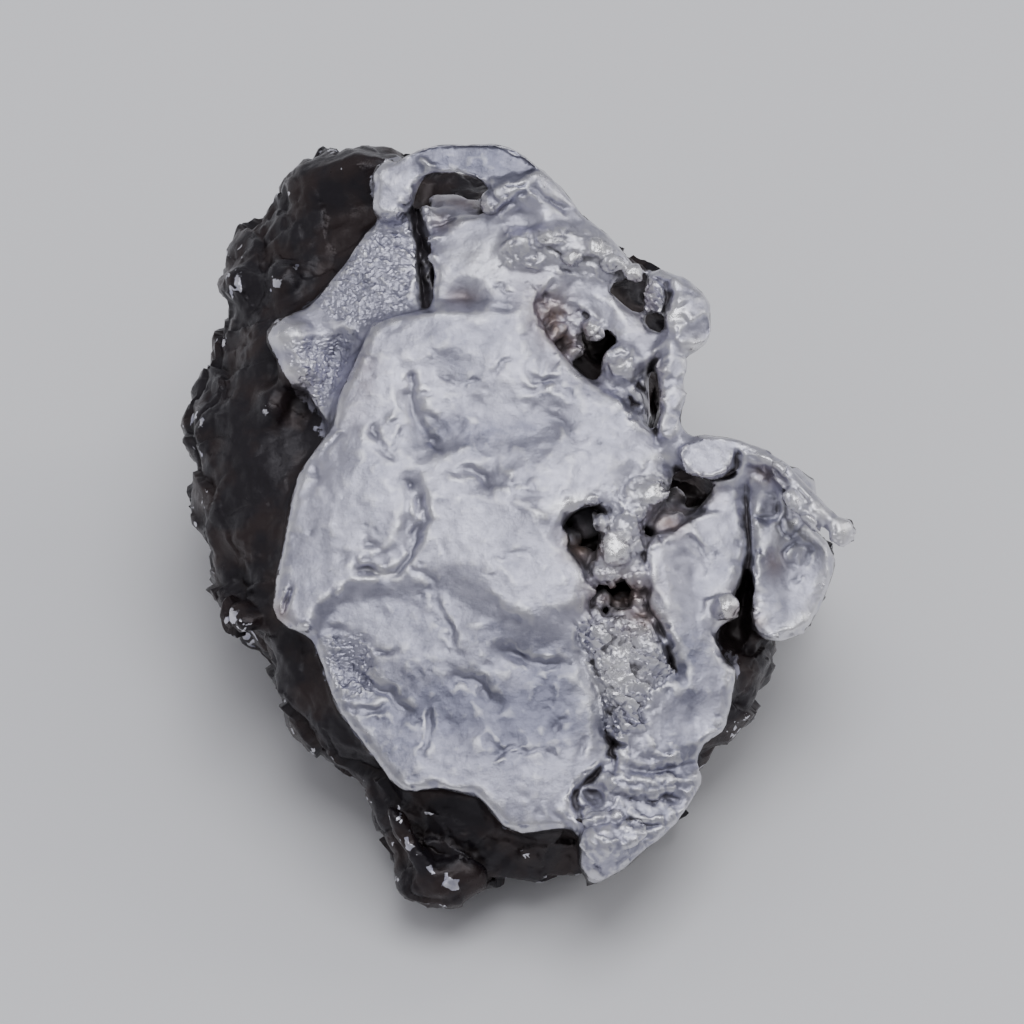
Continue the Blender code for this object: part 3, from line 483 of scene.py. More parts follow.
crystalZones = (
    # size of a crystal, its height, whether its facets are sharp, and the outline of the zone
    (1.15, 0.24, True, (
        (3.6, -6.0), (5.0, -5.7), (7.4, -5.9), (8.2, -7.2), (9.2, -9.0), (7.8, -10.0), (7.6, -12.0),
        (6.0, -12.6), (5.2, -12.2), (5.0, -10.0), (4.2, -8.0))),
    (1.00, 0.10, False, (
        (-0.8, 14.2), (0.8, 14.0), (2.8, 13.5), (5.6, 13.3), (7.0, 13.4), (7.6, 14.6), (6.4, 15.2),
        (5.0, 16.2), (3.4, 16.5), (1.8, 16.3), (-0.4, 16.4))),
    (0.42, 0.045, True, (
        (-7.0, 17.6), (-5.9, 17.2), (-5.5, 15.0), (-5.7, 11.7), (-8.0, 10.8), (-13.2, 9.8), (-12.2, 7.8),
        (-11.0, 5.6), (-9.6, 8.0), (-8.6, 10.6), (-11.5, 12.0), (-9.3, 14.8))),
    (0.60, 0.06, True, ((-10.6, -6.8), (-8.4, -6.6), (-7.6, -8.6), (-8.2, -10.4), (-9.9, -10.4))),
    (1.20, 0.07, False, (
        (6.2, -12.6), (9.0, -12.2), (9.6, -14.0), (10.4, -15.4), (8.4, -19.6), (5.4, -21.8), (3.0, -21.4),
        (3.4, -18.0), (4.0, -15.4))),
    (1.00, 0.08, False, (
        (4.2, 1.0), (8.4, 3.0), (9.2, 1.6), (7.4, -0.6), (7.6, -5.2), (4.4, -5.8), (4.2, -3.0), (5.2, -1.0))),
    (0.70, 0.12, True, ((6.6, 12.8), (7.6, 13.8), (8.6, 13.0), (8.7, 11.6), (8.2, 11.0), (7.2, 11.8))),
    (1.00, 0.07, False, (
        (0.8, 13.4), (4.6, 12.0), (6.6, 9.6), (7.6, 5.4), (6.6, 5.4), (5.4, 7.6), (1.6, 10.4))),
)
flats = (
    # cut level: height, the place it is measured at, slope across, slope up, and the outline
    (1.15, (-4.0, 19.5), -0.02, 0.16, (
        (-9.4, 17.0), (-9.0, 21.0), (-6.0, 22.8), (0.0, 22.8), (2.0, 20.2), (0.6, 19.2), (-2.0, 19.2),
        (-5.2, 20.2), (-5.6, 17.6), (-7.0, 17.0))),
    (1.35, (9.2, 11.4), 0.50, 0.20, ((8.4, 11.9), (9.8, 12.1), (9.9, 10.9), (8.6, 10.8))),
    (1.45, (10.2, 10.6), -0.35, 0.38, (
        (9.0, 10.9), (9.9, 10.9), (11.2, 11.6), (11.7, 10.4), (10.8, 9.7), (9.0, 10.0))),
    (1.65, (10.3, 12.5), -0.22, -0.12, ((9.2, 13.8), (11.0, 13.2), (11.6, 11.5), (10.0, 11.3), (9.5, 12.3))),
    (-0.10, (11.1, -5.4), 0.0, 0.0, ((10.4, -4.4), (11.45, -4.4), (11.5, -6.4), (10.4, -6.4))),
    (1.05, (9.0, 7.0), 0.0, 0.05, ((8.0, 9.2), (9.9, 9.4), (10.0, 4.4), (8.1, 4.4))),
    (1.25, (11.1, 3.2), 0.05, -0.10, ((9.2, 2.2), (10.0, 4.6), (12.0, 4.8), (13.2, 3.0), (12.0, 1.8))),
)
rings = (
    # across, up, radius, width, depth
    (14.3, 0.6, 0.85, 0.20, 0.16),
    (16.2, -2.2, 0.75, 0.18, 0.14),
    (15.8, -0.5, 0.60, 0.16, 0.10),
    (6.3, 8.7, 0.50, 0.16, 0.14),
    (-7.2, 4.6, 1.00, 0.18, 0.05),
)
ringCorners = 8
pits = {
    "count": 150,
    "seed": 7,
    "across": (-13.0, 17.0),
    "up": (-17.0, 17.0),
    "radius": (0.10, 0.34),
    "depth": (0.03, 0.10),
}
wrinkles = {
    "count": 170,
    "seed": 11,
    "across": (-13.0, 17.0),
    "up": (-17.0, 17.0),
    "length": (0.5, 2.4),
    "width": (0.10, 0.22),
    "depth": (-0.03, 0.09),             # below zero it is a raised vein
    "bend": 50.0,                       # in degrees
}


def roundShape(across, up, middleAcross, middleUp, radiusAcross, radiusUp, turn):
    turned = math.radians(turn)
    offAcross, offUp = across - middleAcross, up - middleUp
    alongAcross = (offAcross * math.cos(turned) + offUp * math.sin(turned)) / radiusAcross
    alongUp = (offUp * math.cos(turned) - offAcross * math.sin(turned)) / radiusUp
    return np.exp(-1.2 * (alongAcross ** 2 + alongUp ** 2))


# 1 on the plates and their rims, 0 deep behind them
def frontShare(points):
    return smoothStep(*face["behind"], onFace(points)[2])


def faceShare(points, normals):
    return smoothStep(*face["turned"], normals @ outward) * frontShare(points)


def waveHeights(points, size, shift=0.0):
    return np.array([noise.noise(Vector(point)) for point in points / size + shift])


# Strong along a path's middle, weak at its ends
def fade(share):
    return smoothStep(-0.06, 0.20, share) * smoothStep(1.06, 0.80, share)


warp = (
    # size of a wave, and how far it makes a form wander from its drawn line
    (1.4, 0.16),
    (0.5, 0.09),
)
carving = {
    "levelling": 0.85,                  # share of what stands over a flat that is taken off
    "flatSoft": 0.3,
    "lipPlace": 2.2,                    # where a crease's lips stand, in widths of the crease
    "veinLip": 2.0,
    "unevenSize": 0.9,
    "uneven": 1.2,
    "unevenLimits": (0.35, 1.6),
}


def sculptFace(skin):
    points, normals = readPoints(skin.data)
    across, up, height = onFace(points)
    for size, reach in warp:
        across = across + 2.0 * reach * waveHeights(points, size)
        up = up + 2.0 * reach * waveHeights(points, size, 31.7)
    uneven = 1.0 + carving["uneven"] * waveHeights(points, carving["unevenSize"], 11.3)
    uneven = np.clip(uneven, *carving["unevenLimits"])
    push = np.zeros(len(points))
    for level, (midAcross, midUp), slopeAcross, slopeUp, outline in flats:
        limit = level + slopeAcross * (across - midAcross) + slopeUp * (up - midUp)
        over = np.maximum(height - limit, 0.0)
        push -= carving["levelling"] * over * insideShare(across, up, outline, carving["flatSoft"])
    for midAcross, midUp, radiusAcross, radiusUp, turn, depth in hollows:
        push -= depth * roundShape(across, up, midAcross, midUp, radiusAcross, radiusUp, turn)
    for midAcross, midUp, radiusAcross, radiusUp, turn, rise in bumps:
        push += rise * roundShape(across, up, midAcross, midUp, radiusAcross, radiusUp, turn)
    for width, rise, path in ridges:
        gap, share, _ = followPath(across, up, path)
        push += rise * fade(share) * np.exp(-(gap / width) ** 2)
    for width, depth, leftLip, rightLip, path in creases:
        gap, share, _ = followPath(across, up, path)
        taper = fade(share) * uneven
        push -= depth * taper * np.exp(-(gap / width) ** 2)
        lip = carving["lipPlace"] * width
        push += leftLip * taper * np.exp(-((gap - lip) / width) ** 2)
        push += rightLip * taper * np.exp(-((gap + lip) / width) ** 2)
    for midAcross, midUp, radius, width, depth in rings:
        angles = [2.0 * math.pi * corner / ringCorners for corner in range(ringCorners + 1)]
        path = [(midAcross + radius * math.cos(angle), midUp + radius * math.sin(angle)) for angle in angles]
        gap, share, _ = followPath(across, up, path)
        push -= depth * uneven * np.exp(-(gap / width) ** 2)
    dice = random.Random(pits["seed"])
    for pit in range(pits["count"]):
        midAcross, midUp = dice.uniform(*pits["across"]), dice.uniform(*pits["up"])
        radius, depth = dice.uniform(*pits["radius"]), dice.uniform(*pits["depth"])
        tall, turn = radius * dice.uniform(0.6, 1.0), dice.uniform(0, 180)
        near = (np.abs(across - midAcross) < 3.0 * radius) & (np.abs(up - midUp) < 3.0 * radius)
        push[near] -= depth * roundShape(across[near], up[near], midAcross, midUp, radius, tall, turn)
    dice = random.Random(wrinkles["seed"])
    for wrinkle in range(wrinkles["count"]):
        place = [(dice.uniform(*wrinkles["across"]), dice.uniform(*wrinkles["up"]))]
        length, width = dice.uniform(*wrinkles["length"]), dice.uniform(*wrinkles["width"])
        depth, heading = dice.uniform(*wrinkles["depth"]), dice.uniform(0, 360)
        for part in range(3):
            turned = math.radians(heading)
            stepAcross, stepUp = length / 3 * math.cos(turned), length / 3 * math.sin(turned)
            place.append((place[-1][0] + stepAcross, place[-1][1] + stepUp))
            heading += dice.uniform(-wrinkles["bend"], wrinkles["bend"])
        reach = length + 4.0 * width
        near = (np.abs(across - place[0][0]) < reach) & (np.abs(up - place[0][1]) < reach)
        gap, share, _ = followPath(across[near], up[near], place)
        line = np.exp(-(gap / width) ** 2)
        line -= 0.5 * np.exp(-((gap - carving["veinLip"] * width) / width) ** 2)
        push[near] -= depth * fade(share) * line
    push *= faceShare(points, normals)
    writePoints(skin.data, points + push[:, None] * outward)
    print("face sculpted")


crystals = {
    "bend": 0.35,
    "tilt": 1.6,
    "level": 0.5,
    "groove": 0.25,
    "grooveWidth": 0.20,
    "apart": 17.3,                      # keeps one crystal's tilt apart from the next one's
    "fineSize": 0.45,                   # smaller crystals on the larger ones
    "fineHeight": 0.5,
    "zoneSoft": 0.35,
}


# Broken crystals: each cell has its own level and tilt, with a groove round it
def crystalHeights(points, size):
    heights = np.empty(len(points))
    sway = np.stack([waveHeights(points, size, shift) for shift in (3.1, 7.9, 13.3)], axis=1)
    bent = points / size + crystals["bend"] * sway
    for index, point in enumerate(bent):
        place = Vector(point)
        gaps, middles = noise.voronoi(place)
        tilt = noise.cell_vector(middles[0] * crystals["apart"])
        groove = min((gaps[1] - gaps[0]) / crystals["grooveWidth"], 1.0)
        facet = crystals["tilt"] * (place - middles[0]).dot(tilt) + crystals["level"] * tilt.x
        heights[index] = facet - crystals["groove"] * (1.0 - groove) ** 2
    return heights


flankCrystals = (
    # size of a crystal and its height
    (3.40, 0.27),
    (1.50, 0.08),
)
waves = (
    # size, height on the rough sides, height on the face
    (2.6, 0.45, 0.075),
    (1.2, 0.24, 0.050),
    (0.6, 0.10, 0.036),
    (0.3, 0.04, 0.017),
)
chipping = {
    "size": 0.9,
    "depth": 0.22,
    "fineSize": 0.4,
    "fineDepth": 0.12,
    "facetSize": 1.3,
    "facetDepth": 0.20,
    "edge": (0.06, 0.20),               # how far an edge stands out where chipping starts and is whole
}


def breakSkin(skin):
    points, normals = readPoints(skin.data)
    across, up, height = onFace(points)
    front = faceShare(points, normals)
    push = np.zeros(len(points))
    for size, rise, sharp, outline in crystalZones:
        share = insideShare(across, up, outline, crystals["zoneSoft"]) * front
        some = share > 0.01
        push[some] += rise * share[some] * crystalHeights(points[some], size)
        fine = crystalHeights(points[some] + 50.0, crystals["fineSize"] * size)
        push[some] += crystals["fineHeight"] * rise * share[some] * fine
    rough = 1.0 - frontShare(points)
    some = rough > 0.01
    for size, rise in flankCrystals:
        push[some] += rise * rough[some] * crystalHeights(points[some], size)
    for size, roughHeight, faceHeight in waves:
        push += waveHeights(points, size) * (roughHeight * rough + faceHeight * (1.0 - rough))
    soft = Neighbours(skin.data).relaxedPoints(points, skinSettings["edgeTurns"])
    edges = smoothStep(*chipping["edge"], np.einsum("ij,ij->i", points - soft, normals))
    chips = np.maximum(waveHeights(points, chipping["size"], 5.1) + 0.15, 0.0)
    push -= edges * chipping["depth"] * chips
    push -= edges * chipping["fineDepth"] * np.abs(waveHeights(points, chipping["fineSize"], 2.7))
    some = edges > 0.02
    facets = crystalHeights(points[some], chipping["facetSize"])
    push[some] += edges[some] * chipping["facetDepth"] * (facets - 0.1)
    points += push[:, None] * normals
    points[:, 2] = np.maximum(points[:, 2], 0.0)
    writePoints(skin.data, points)
    print("skin broken up")


masks = {
    "rays": 20,
    "reach": 6.0,          # how far a ray looks for a wall, in millimetres
    "fineTurns": 3,
    "middleTurns": 10,
    "broadTurns": 40,
    "reliefPart": 85,      # percentile of the face's relief that counts as full
    "open": (0.80, 0.42),  # how much sky a place sees where a crevice starts and is whole
    "turned": (-0.10, 0.40),
    "behind": (-4.0, -2.2),
    "edgeSoft": 0.4,
    "sparkleSize": 0.55,
    "sparkle": (0.0, 0.22),
    "sparkleEdge": (-0.05, 0.05),
    "knobTurned": (0.0, 0.40),
    "fineHollow": (0.0, -0.03),
    "fineHollowShare": 0.3,
    "fineEdge": (0.005, 0.04),
    "fineEdgeShare": 0.6,
    "broadEdge": (0.03, 0.22),
    "broadEdgeShare": 0.8,
}


# Broken crystals keep the flat facets of their mesh
def sharpenCrystals(skin):
    mesh = skin.data
    middles = np.empty(len(mesh.polygons) * 3)
    mesh.polygons.foreach_get("center", middles)
    middles = middles.reshape(-1, 3) / mm
    across, up, height = onFace(middles)
    across = across + 0.5 * waveHeights(middles, 0.7)
    share = np.zeros(len(middles))
    for size, rise, sharp, outline in crystalZones:
        if sharp:
            share = np.maximum(share, insideShare(across, up, outline, 0.3))
    smooth = share * frontShare(middles) < 0.5
    mesh.polygons.foreach_set("use_smooth", smooth)
    mesh.update()


def rayFan(count):
    golden = math.pi * (3.0 - math.sqrt(5.0))
    fan = []
    for index in range(count):
        height = (index + 0.5) / count
        reach = math.sqrt(1.0 - height)
        fan.append((reach * math.cos(golden * index), reach * math.sin(golden * index), math.sqrt(height)))
    return fan


def openness(points, normals, faces):
    tree = BVHTree.FromPolygons(points.tolist(), faces)
    fan = rayFan(masks["rays"])
    free = np.empty(len(points))
    for index, (point, normal) in enumerate(zip(points.tolist(), normals.tolist())):
        normal = Vector(normal)
        side = normal.orthogonal().normalized()
        other = normal.cross(side)
        start = Vector(point) + normal * 0.05
        hits = 0.0
        for x, y, z in fan:
            place, _, _, distance = tree.ray_cast(start, side * x + other * y + normal * z, masks["reach"])
            if place is not None:
                hits += 1.0 - distance / masks["reach"]
        free[index] = 1.0 - hits / len(fan)
    return free


def setMask(mesh, name, values):
    layer = mesh.attributes.new(name, "FLOAT", "POINT")
    layer.data.foreach_set("value", np.clip(values, 0.0, 1.0).astype(np.float32))


# The face painted in the bright metal colour, read round its edge; outside it the dark crust stands for
# painted shade
brightOutline = (
    (-13.7, -5.6), (-13.3, -3.2), (-12.8, -0.5), (-12.1, 2.4), (-11.2, 4.2), (-12.4, 6.8), (-13.2, 8.6),
    (-14.1, 10.2), (-12.4, 11.9), (-10.6, 13.0), (-9.5, 14.8), (-8.2, 16.6), (-8.2, 19.0), (-6.8, 21.0),
    (-4.0, 22.0), (-1.0, 21.9), (6.0, 17.5), (12.5, 11.5), (12.0, 5.4), (17.0, 4.0), (20.0, -0.4),
    (18.6, -4.6), (16.6, -7.4), (14.0, -7.2), (13.0, -9.4), (12.6, -12.6), (11.4, -13.2), (11.6, -15.2),
    (9.4, -18.0), (6.2, -20.6), (4.6, -21.0), (3.6, -19.8), (3.5, -18.0), (-0.6, -18.0), (-2.0, -15.9),
    (-4.4, -15.5), (-6.4, -15.6), (-8.6, -13.2), (-10.1, -11.0), (-10.7, -9.0), (-11.5, -7.1),
)
flankGlints = (
    # painted glints on the dark flanks, knobs that keep the bright metal colour: across, up, radius
    (-15.8, 13.0, 0.9), (-13.7, 13.3, 0.7), (-12.3, 14.5, 0.5), (-16.0, 10.9, 0.6), (-18.5, 5.5, 0.8),
    (-17.4, 4.7, 0.6), (-18.1, 3.3, 0.5), (-13.8, 6.2, 0.6), (-15.0, -7.0, 0.8), (-16.0, -5.8, 0.7),
    (-13.6, -4.6, 0.5), (-10.5, 21.3, 0.8), (-8.5, 22.0, 0.6), (-6.6, -17.0, 0.6), (-5.9, -18.4, 0.6),
    (-5.0, -19.9, 0.6), (-4.5, -15.9, 0.5), (-3.4, -20.8, 0.7),
)


plateShadeSpots = (
    # painted shade, darker patches of the plates: across, up, radius across, radius up, turn in degrees,
    # share
    (0.0, 4.9, 6.5, 1.5, 2, 0.60),
    (-3.0, 8.1, 2.4, 0.8, -25, 0.35),
    (-1.5, -11.3, 8.5, 4.9, 0, 0.95),
    (-3.0, 20.3, 5.0, 1.3, 0, 0.85),
    (-9.3, -8.6, 1.8, 3.2, 0, 0.40),
    (-9.0, 12.6, 3.6, 3.6, 0, 0.35),
    (-2.7, 12.6, 1.5, 0.6, 0, 0.45),
    (9.9, -9.0, 2.4, 3.6, 0, 0.65),
    (8.6, -14.8, 3.4, 3.4, 0, 0.60),
    (-8.0, 1.2, 2.6, 2.0, 30, 0.25),
    (3.8, 7.0, 2.4, 1.2, -30, 0.25),
    (15.4, -1.6, 2.0, 3.4, 0, 0.15),
)
stains = (
    # brown tints: across, up, radius across, radius up, turn in degrees, share
    (-13.2, -5.6, 0.9, 1.0, 0, 0.6),
    (-12.4, 6.9, 1.0, 1.6, 0, 0.4),
    (-2.8, 12.5, 1.3, 0.6, 0, 0.45),
    (-4.0, 16.9, 0.9, 0.6, 0, 0.5),
    (-3.0, 17.9, 2.0, 0.6, -10, 0.5),
    (7.2, -5.8, 1.4, 1.0, 0, 0.8),
    (6.0, -4.4, 2.1, 1.3, 0, 1.0),
    (3.9, -1.6, 1.2, 1.3, 0, 1.0),
    (8.9, -0.3, 1.4, 1.0, 20, 0.8),
    (10.3, 1.3, 1.4, 0.9, 0, 0.8),
    (2.8, 10.8, 2.8, 1.4, -55, 0.9),
    (7.2, 12.2, 1.0, 1.6, 10, 0.6),
    (8.2, 7.0, 0.5, 2.0, 0, 0.6),
    (12.9, -6.5, 1.0, 1.8, 0, 0.8),
    (14.4, 2.3, 0.9, 0.6, -20, 0.7),
    (14.9, -2.6, 0.6, 1.0, 0, 0.5),
    (14.0, -6.0, 0.5, 0.5, 0, 0.5),
    (-8.6, 7.4, 0.9, 2.4, -15, 0.35),
)


paintedHighlights = (
    # painted highlights, near-white and smoother where knobs and crystals catch the light: across, up, radius
    # across, radius up, turn in degrees, share
    (5.9, -1.9, 1.3, 1.5, 0, 1.0),
    (8.0, 1.4, 1.2, 0.9, 30, 1.0),
    (6.2, -8.4, 1.9, 2.8, -10, 0.80),
    (4.0, 15.0, 3.6, 1.2, -5, 0.50),
    (-1.2, 14.6, 2.2, 1.4, 0, 0.45),
    (16.3, 1.0, 0.9, 0.7, -35, 0.6),
    (17.4, 0.2, 0.9, 0.6, -40, 0.7),
    (3.2, 0.7, 1.4, 0.4, 20, 0.8),
    (8.4, 3.3, 0.8, 0.3, 0, 0.8),
    (12.1, -5.3, 0.8, 1.1, 0, 1.0),
    (16.2, -6.2, 1.6, 0.5, 35, 0.8),
    (4.6, 10.6, 0.5, 0.8, 0, 0.9),
    (6.3, 8.6, 0.7, 0.6, 0, 0.8),
    (5.0, 15.2, 0.9, 0.8, 0, 1.0),
    (3.5, 14.8, 0.7, 0.7, 0, 0.8),
    (2.1, 15.8, 0.8, 0.6, 0, 0.8),
    (6.8, 13.9, 1.0, 0.7, -30, 1.0),
    (9.3, 11.4, 0.8, 0.7, 20, 1.0),
    (10.4, 9.6, 0.8, 0.5, 20, 0.9),
    (-13.0, 9.9, 0.7, 0.5, 0, 0.7),
    (-12.6, 8.2, 0.6, 0.6, 0, 0.6),
    (-7.4, -3.3, 0.9, 0.25, -10, 0.6),
    (18.7, -0.9, 0.9, 0.8, 0, 1.0),
    (14.4, 3.2, 0.9, 0.25, -25, 0.7),
)


def spotShare(across, up, spots):
    share = np.zeros(len(across))
    for midAcross, midUp, radiusAcross, radiusUp, turn, amount in spots:
        spot = amount * roundShape(across, up, midAcross, midUp, radiusAcross, radiusUp, turn)
        share = np.maximum(share, spot)
    return share


def measureSkin(skin):
    mesh = skin.data
    points, normals = readPoints(mesh)
    near = Neighbours(mesh)
    free = openness(points, normals, [tuple(polygon.vertices) for polygon in mesh.polygons])
    fine = np.einsum("ij,ij->i", points - near.relaxedPoints(points, masks["fineTurns"]), normals)
    broad = np.einsum("ij,ij->i", points - near.relaxedPoints(points, masks["broadTurns"]), normals)
    middle = np.einsum("ij,ij->i", points - near.relaxedPoints(points, masks["middleTurns"]), normals)
    spread = np.percentile(np.abs(middle[faceShare(points, normals) > 0.5]), masks["reliefPart"])
    across, up, height = onFace(points)
    # Painted shade: places that see little sky, and fine hollows, are marked for darkening
    deep = smoothStep(*masks["open"], near.relaxed(free, 2))
    # Painted light and shade: faces turned out towards the camera inside the outline get the bright metal
    # colour, the rest a dark crust that is partly oxide and partly painted shade
    bright = near.relaxed(smoothStep(*masks["turned"], normals @ outward), 4)
    bright *= smoothStep(*masks["behind"], height)
    bright *= insideShare(across, up, brightOutline, masks["edgeSoft"])
    sparkle = smoothStep(*masks["sparkle"], waveHeights(points, masks["sparkleSize"], 3.3))
    sparkle *= smoothStep(*masks["sparkleEdge"], broad)
    facing = smoothStep(*masks["knobTurned"], normals @ outward)
    # Painted glints: sparkles of the bright metal colour on knobs of the dark flanks
    for midAcross, midUp, radius in flankGlints:
        knob = roundShape(across, up, midAcross, midUp, radius, radius, 0)
        bright = np.maximum(bright, knob * facing * sparkle)
    deep += smoothStep(*masks["fineHollow"], fine) * masks["fineHollowShare"]
    # Polish of the edges, used for a smoother finish and for the painted glints
    polishAndGlint = smoothStep(*masks["fineEdge"], fine) * masks["fineEdgeShare"]
    polishAndGlint += smoothStep(*masks["broadEdge"], broad) * masks["broadEdgeShare"]
    setMask(mesh, "crevice", deep)
    setMask(mesh, "polishAndGlint", polishAndGlint)
    setMask(mesh, "bright", bright)
    setMask(mesh, "relief", 0.5 + 0.5 * middle / spread)
    setMask(mesh, "plateShade", spotShare(across, up, plateShadeSpots))
    setMask(mesh, "stain", spotShare(across, up, stains) * frontShare(points))
    setMask(mesh, "paintedHighlight", spotShare(across, up, paintedHighlights) * frontShare(points))
    print("masks measured")


def addNode(tree, kind, **settings):
    node = tree.nodes.new(kind)
    for name, value in settings.items():
        setattr(node, name, value)
    return node


metal = {
    "plate": (0.545, 0.540, 0.640, 1.0),
    "plateDark": (0.195, 0.198, 0.262, 1.0),
    "hollow": (0.15, 0.15, 0.195, 1.0),
    "paintedHighlight": (0.93, 0.92, 0.92, 1.0),
    "stain": (0.24, 0.165, 0.13, 1.0),
    "darkCrustShade": (0.014, 0.011, 0.015, 1.0),
    "darkCrustShadeWarm": (0.028, 0.018, 0.018, 1.0),
    "creviceShadeColour": (0.026, 0.019, 0.019, 1.0),
    "plateRough": (0.30, 0.48),
    "polishedRough": (0.18, 0.30),
    "crustMetallic": 0.35,
    "creviceShade": 0.90,
    "bumpStrength": 0.5,
    "bumpDepth": 0.00008,
    # scales of the noise, in ripples to the metre
    "patchScale": 240,
    "speckleScale": 1100,
    "paintedHighlightScale": 900,
    "warmScale": 420,
    "glintScale": 800,
    "edgeScale": 700,
    "stainScale": 600,
    "grainScale": 1600,
    "bumpScale": 2600,
}


def makeMetal():
    finish = bpy.data.materials["nickelIron"]
    finish.use_nodes = True
    tree = finish.node_tree
    shader = tree.nodes["Principled BSDF"]
    place = addNode(tree, "ShaderNodeTexCoord")
    crevice = addNode(tree, "ShaderNodeAttribute", attribute_name="crevice")
    polishAndGlint = addNode(tree, "ShaderNodeAttribute", attribute_name="polishAndGlint")
    bright = addNode(tree, "ShaderNodeAttribute", attribute_name="bright")
    plateShade = addNode(tree, "ShaderNodeAttribute", attribute_name="plateShade")
    stain = addNode(tree, "ShaderNodeAttribute", attribute_name="stain")
    paintedHighlight = addNode(tree, "ShaderNodeAttribute", attribute_name="paintedHighlight")
    relief = addNode(tree, "ShaderNodeAttribute", attribute_name="relief")

    def noiseNode(scale, detail, rough=0.5):
        node = addNode(tree, "ShaderNodeTexNoise")
        node.inputs["Scale"].default_value = scale
        node.inputs["Detail"].default_value = detail
        node.inputs["Roughness"].default_value = rough
        tree.links.new(place.outputs["Object"], node.inputs["Vector"])
        return node.outputs["Fac"]

    def ramp(value, low, high, outLow=0.0, outHigh=1.0):
        node = addNode(tree, "ShaderNodeMapRange", clamp=True)
        node.inputs["From Min"].default_value = low
        node.inputs["From Max"].default_value = high
        node.inputs["To Min"].default_value = outLow
        node.inputs["To Max"].default_value = outHigh
        tree.links.new(value, node.inputs["Value"])
        return node.outputs["Result"]

    def mixColour(factor, first, second):
        node = addNode(tree, "ShaderNodeMix", data_type="RGBA")
        tree.links.new(factor, node.inputs[0])
        for value, socket in ((first, node.inputs[6]), (second, node.inputs[7])):
            if isinstance(value, tuple):
                socket.default_value = value
            else:
                tree.links.new(value, socket)
        return node.outputs[2]

    def maths(operation, first, second):
        node = addNode(tree, "ShaderNodeMath", operation=operation, use_clamp=True)
        for value, socket in ((first, node.inputs[0]), (second, node.inputs[1])):
            if isinstance(value, (int, float)):
                socket.default_value = value
            else:
                tree.links.new(value, socket)
        return node.outputs[0]

    patches = ramp(noiseNode(metal["patchScale"], 5, 0.6), 0.44, 0.62, 0.0, 0.44)
    speckle = ramp(noiseNode(metal["speckleScale"], 4, 0.6), 0.52, 0.68, 0.0, 0.24)
    # Painted shade: the darker spots on the plates are added to the random patches
    patches = maths("ADD", maths("ADD", patches, speckle), maths("MULTIPLY", plateShade.outputs["Fac"], 0.90))
    plate = mixColour(patches, metal["plate"], metal["plateDark"])
    # Painted shade in the plates' hollows and painted highlights on their edges
    plate = mixColour(ramp(relief.outputs["Fac"], 0.42, 0.0, 0.0, 0.48), plate, metal["hollow"])
    plate = mixColour(ramp(relief.outputs["Fac"], 0.60, 1.0, 0.0, 0.50), plate, metal["paintedHighlight"])
    # Painted highlights: near-white spots where knobs and crystals catch the light
    highlightShare = ramp(noiseNode(metal["paintedHighlightScale"], 4, 0.6), 0.36, 0.56, 0.6, 1.0)
    highlightShare = maths("MULTIPLY", paintedHighlight.outputs["Fac"], highlightShare)
    plate = mixColour(highlightShare, plate, metal["paintedHighlight"])
    warm = ramp(noiseNode(metal["warmScale"], 3), 0.45, 0.60)
    # The dark crust, partly oxide and partly painted shade on the sides turned away
    darkCrustShade = mixColour(warm, metal["darkCrustShade"], metal["darkCrustShadeWarm"])
    # Painted glints: the bright metal colour breaks through the dark crust at the most polished edges
    glint = ramp(noiseNode(metal["glintScale"], 4, 0.6), 0.60, 0.64)
    glint = maths("MULTIPLY", ramp(polishAndGlint.outputs["Fac"], 0.85, 1.0), glint)
    shown = maths("MAXIMUM", bright.outputs["Fac"], glint)
    breakUp = ramp(noiseNode(metal["edgeScale"], 6, 0.65), 0.30, 0.70, -0.38, 0.38)
    shown = maths("ADD", shown, breakUp)
    shown = ramp(shown, 0.46, 0.54)
    tint = ramp(noiseNode(metal["stainScale"], 4, 0.6), 0.36, 0.56, 0.35, 1.0)
    tint = maths("MULTIPLY", stain.outputs["Fac"], tint)
    body = mixColour(shown, darkCrustShade, mixColour(tint, plate, metal["stain"]))
    # Painted shade: crevices that see little sky darken towards a near-black colour, less under stains and
    # highlights
    creviceShade = ramp(crevice.outputs["Fac"], 0.35, 1.0, 0.0, metal["creviceShade"])
    creviceShade = maths("MULTIPLY", creviceShade, ramp(stain.outputs["Fac"], 0.0, 1.0, 1.0, 0.62))
    creviceShade = maths("MULTIPLY", creviceShade, ramp(highlightShare, 0.0, 1.0, 1.0, 0.40))
    colour = mixColour(creviceShade, body, metal["creviceShadeColour"])
    tree.links.new(colour, shader.inputs["Base Color"])
    # The metal is duller where the dark crust and the crevices are painted shade
    unshadedMetal = maths("MULTIPLY", shown, ramp(crevice.outputs["Fac"], 0.25, 0.85, 1.0, 0.0))
    tree.links.new(ramp(unshadedMetal, 0.0, 1.0, metal["crustMetallic"], 1.0), shader.inputs["Metallic"])
    grain = noiseNode(metal["grainScale"], 6, 0.65)
    rough = addNode(tree, "ShaderNodeMix", data_type="FLOAT")
    tree.links.new(maths("MAXIMUM", maths("MULTIPLY", polishAndGlint.outputs["Fac"], 0.6), highlightShare), rough.inputs[0])
    tree.links.new(ramp(grain, 0.3, 0.7, *metal["plateRough"]), rough.inputs[2])
    tree.links.new(ramp(grain, 0.3, 0.7, *metal["polishedRough"]), rough.inputs[3])
    tree.links.new(rough.outputs[0], shader.inputs["Roughness"])
    bump = addNode(tree, "ShaderNodeBump")
    bump.inputs["Strength"].default_value = metal["bumpStrength"]
    bump.inputs["Distance"].default_value = metal["bumpDepth"]
    tree.links.new(noiseNode(metal["bumpScale"], 8, 0.7), bump.inputs["Height"])
    tree.links.new(bump.outputs["Normal"], shader.inputs["Normal"])
    print("metal made")


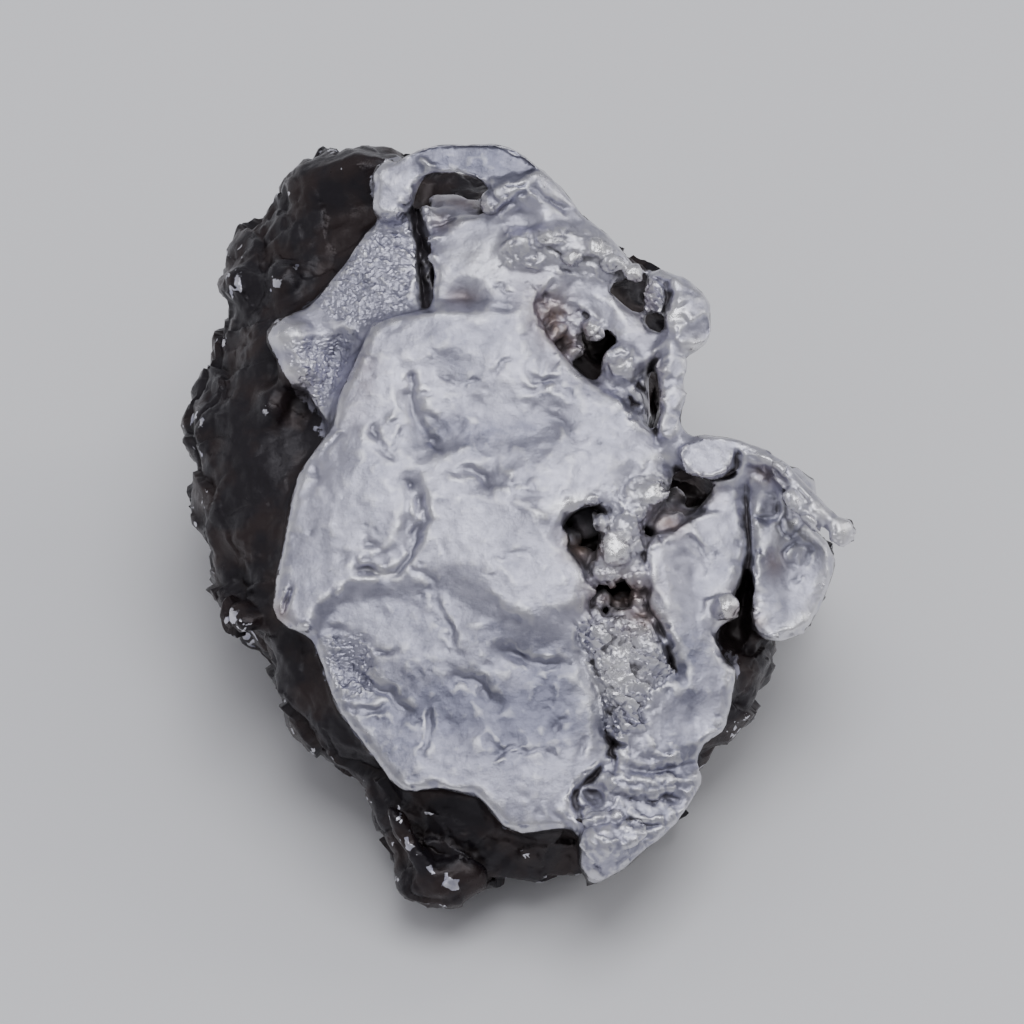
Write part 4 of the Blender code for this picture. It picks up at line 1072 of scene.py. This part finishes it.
studio = {
    "cameraDistance": 0.733,
    "lens": 455.0,
    "aimUp": 0.2,
    "floorSize": 1.6,
    "floorColour": (0.93, 0.93, 0.94, 1.0),
    "worldColour": (0.42, 0.42, 0.45, 1.0),
    "lightsAimAt": (0, 0, 0.01),
    "lights": (
        # name, place, size, power, colour
        ("overheadSoftbox", (0.05, -0.04, 0.60), (0.44, 0.30), 1.60, (0.95, 0.96, 1.0)),
        ("rightStrip", (0.40, 0.12, 0.22), (0.06, 0.30), 0.30, (1.0, 1.0, 1.0)),
        ("leftStrip", (-0.40, 0.10, 0.10), (0.05, 0.20), 0.06, (1.0, 1.0, 1.0)),
    ),
}


def makeFloor():
    bpy.ops.object.select_all(action="DESELECT")
    bpy.ops.mesh.primitive_plane_add(size=studio["floorSize"], location=(0, 0, 0))
    floor = bpy.context.active_object
    floor.name = "floor"
    paint = bpy.data.materials.new("paleFloor")
    paint.use_nodes = True
    shader = paint.node_tree.nodes["Principled BSDF"]
    shader.inputs["Base Color"].default_value = studio["floorColour"]
    shader.inputs["Roughness"].default_value = 0.7
    floor.data.materials.append(paint)


def aim(thing, target):
    thing.rotation_euler = (target - thing.location).to_track_quat("-Z", "Y").to_euler()


def makeLight(name, place, size, power, colour):
    lamp = bpy.data.lights.new(name, "AREA")
    lamp.shape = "RECTANGLE"
    lamp.size, lamp.size_y = size
    lamp.energy = power
    lamp.color = colour
    light = bpy.data.objects.new(name, lamp)
    bpy.context.scene.collection.objects.link(light)
    light.location = place
    aim(light, Vector(studio["lightsAimAt"]))


def makeStudio():
    makeFloor()
    target = (Vector(face["middle"]) + Vector((0, faceSin, faceCos)) * studio["aimUp"]) * mm
    camera = bpy.data.objects.new("camera", bpy.data.cameras.new("camera"))
    camera.data.lens = studio["lens"]
    camera.data.sensor_width = 36.0
    camera.data.clip_start = 0.01
    bpy.context.scene.collection.objects.link(camera)
    camera.location = target + Vector(outward) * studio["cameraDistance"]
    aim(camera, target)
    bpy.context.scene.camera = camera
    world = bpy.data.worlds.new("studio")
    world.use_nodes = True
    world.node_tree.nodes["Background"].inputs["Color"].default_value = studio["worldColour"]
    bpy.context.scene.world = world
    for light in studio["lights"]:
        makeLight(*light)
    print("studio made")


skin = makeSkin()
sculptFace(skin)
breakSkin(skin)
thinSkin(skin)
measureSkin(skin)
skin.data.materials.clear()
skin.data.materials.append(bpy.data.materials.new("nickelIron"))
makeMetal()
selectOnly(skin)
bpy.ops.object.shade_smooth()
sharpenCrystals(skin)
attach(skin, "root")
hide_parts("meteorite")
makeStudio()
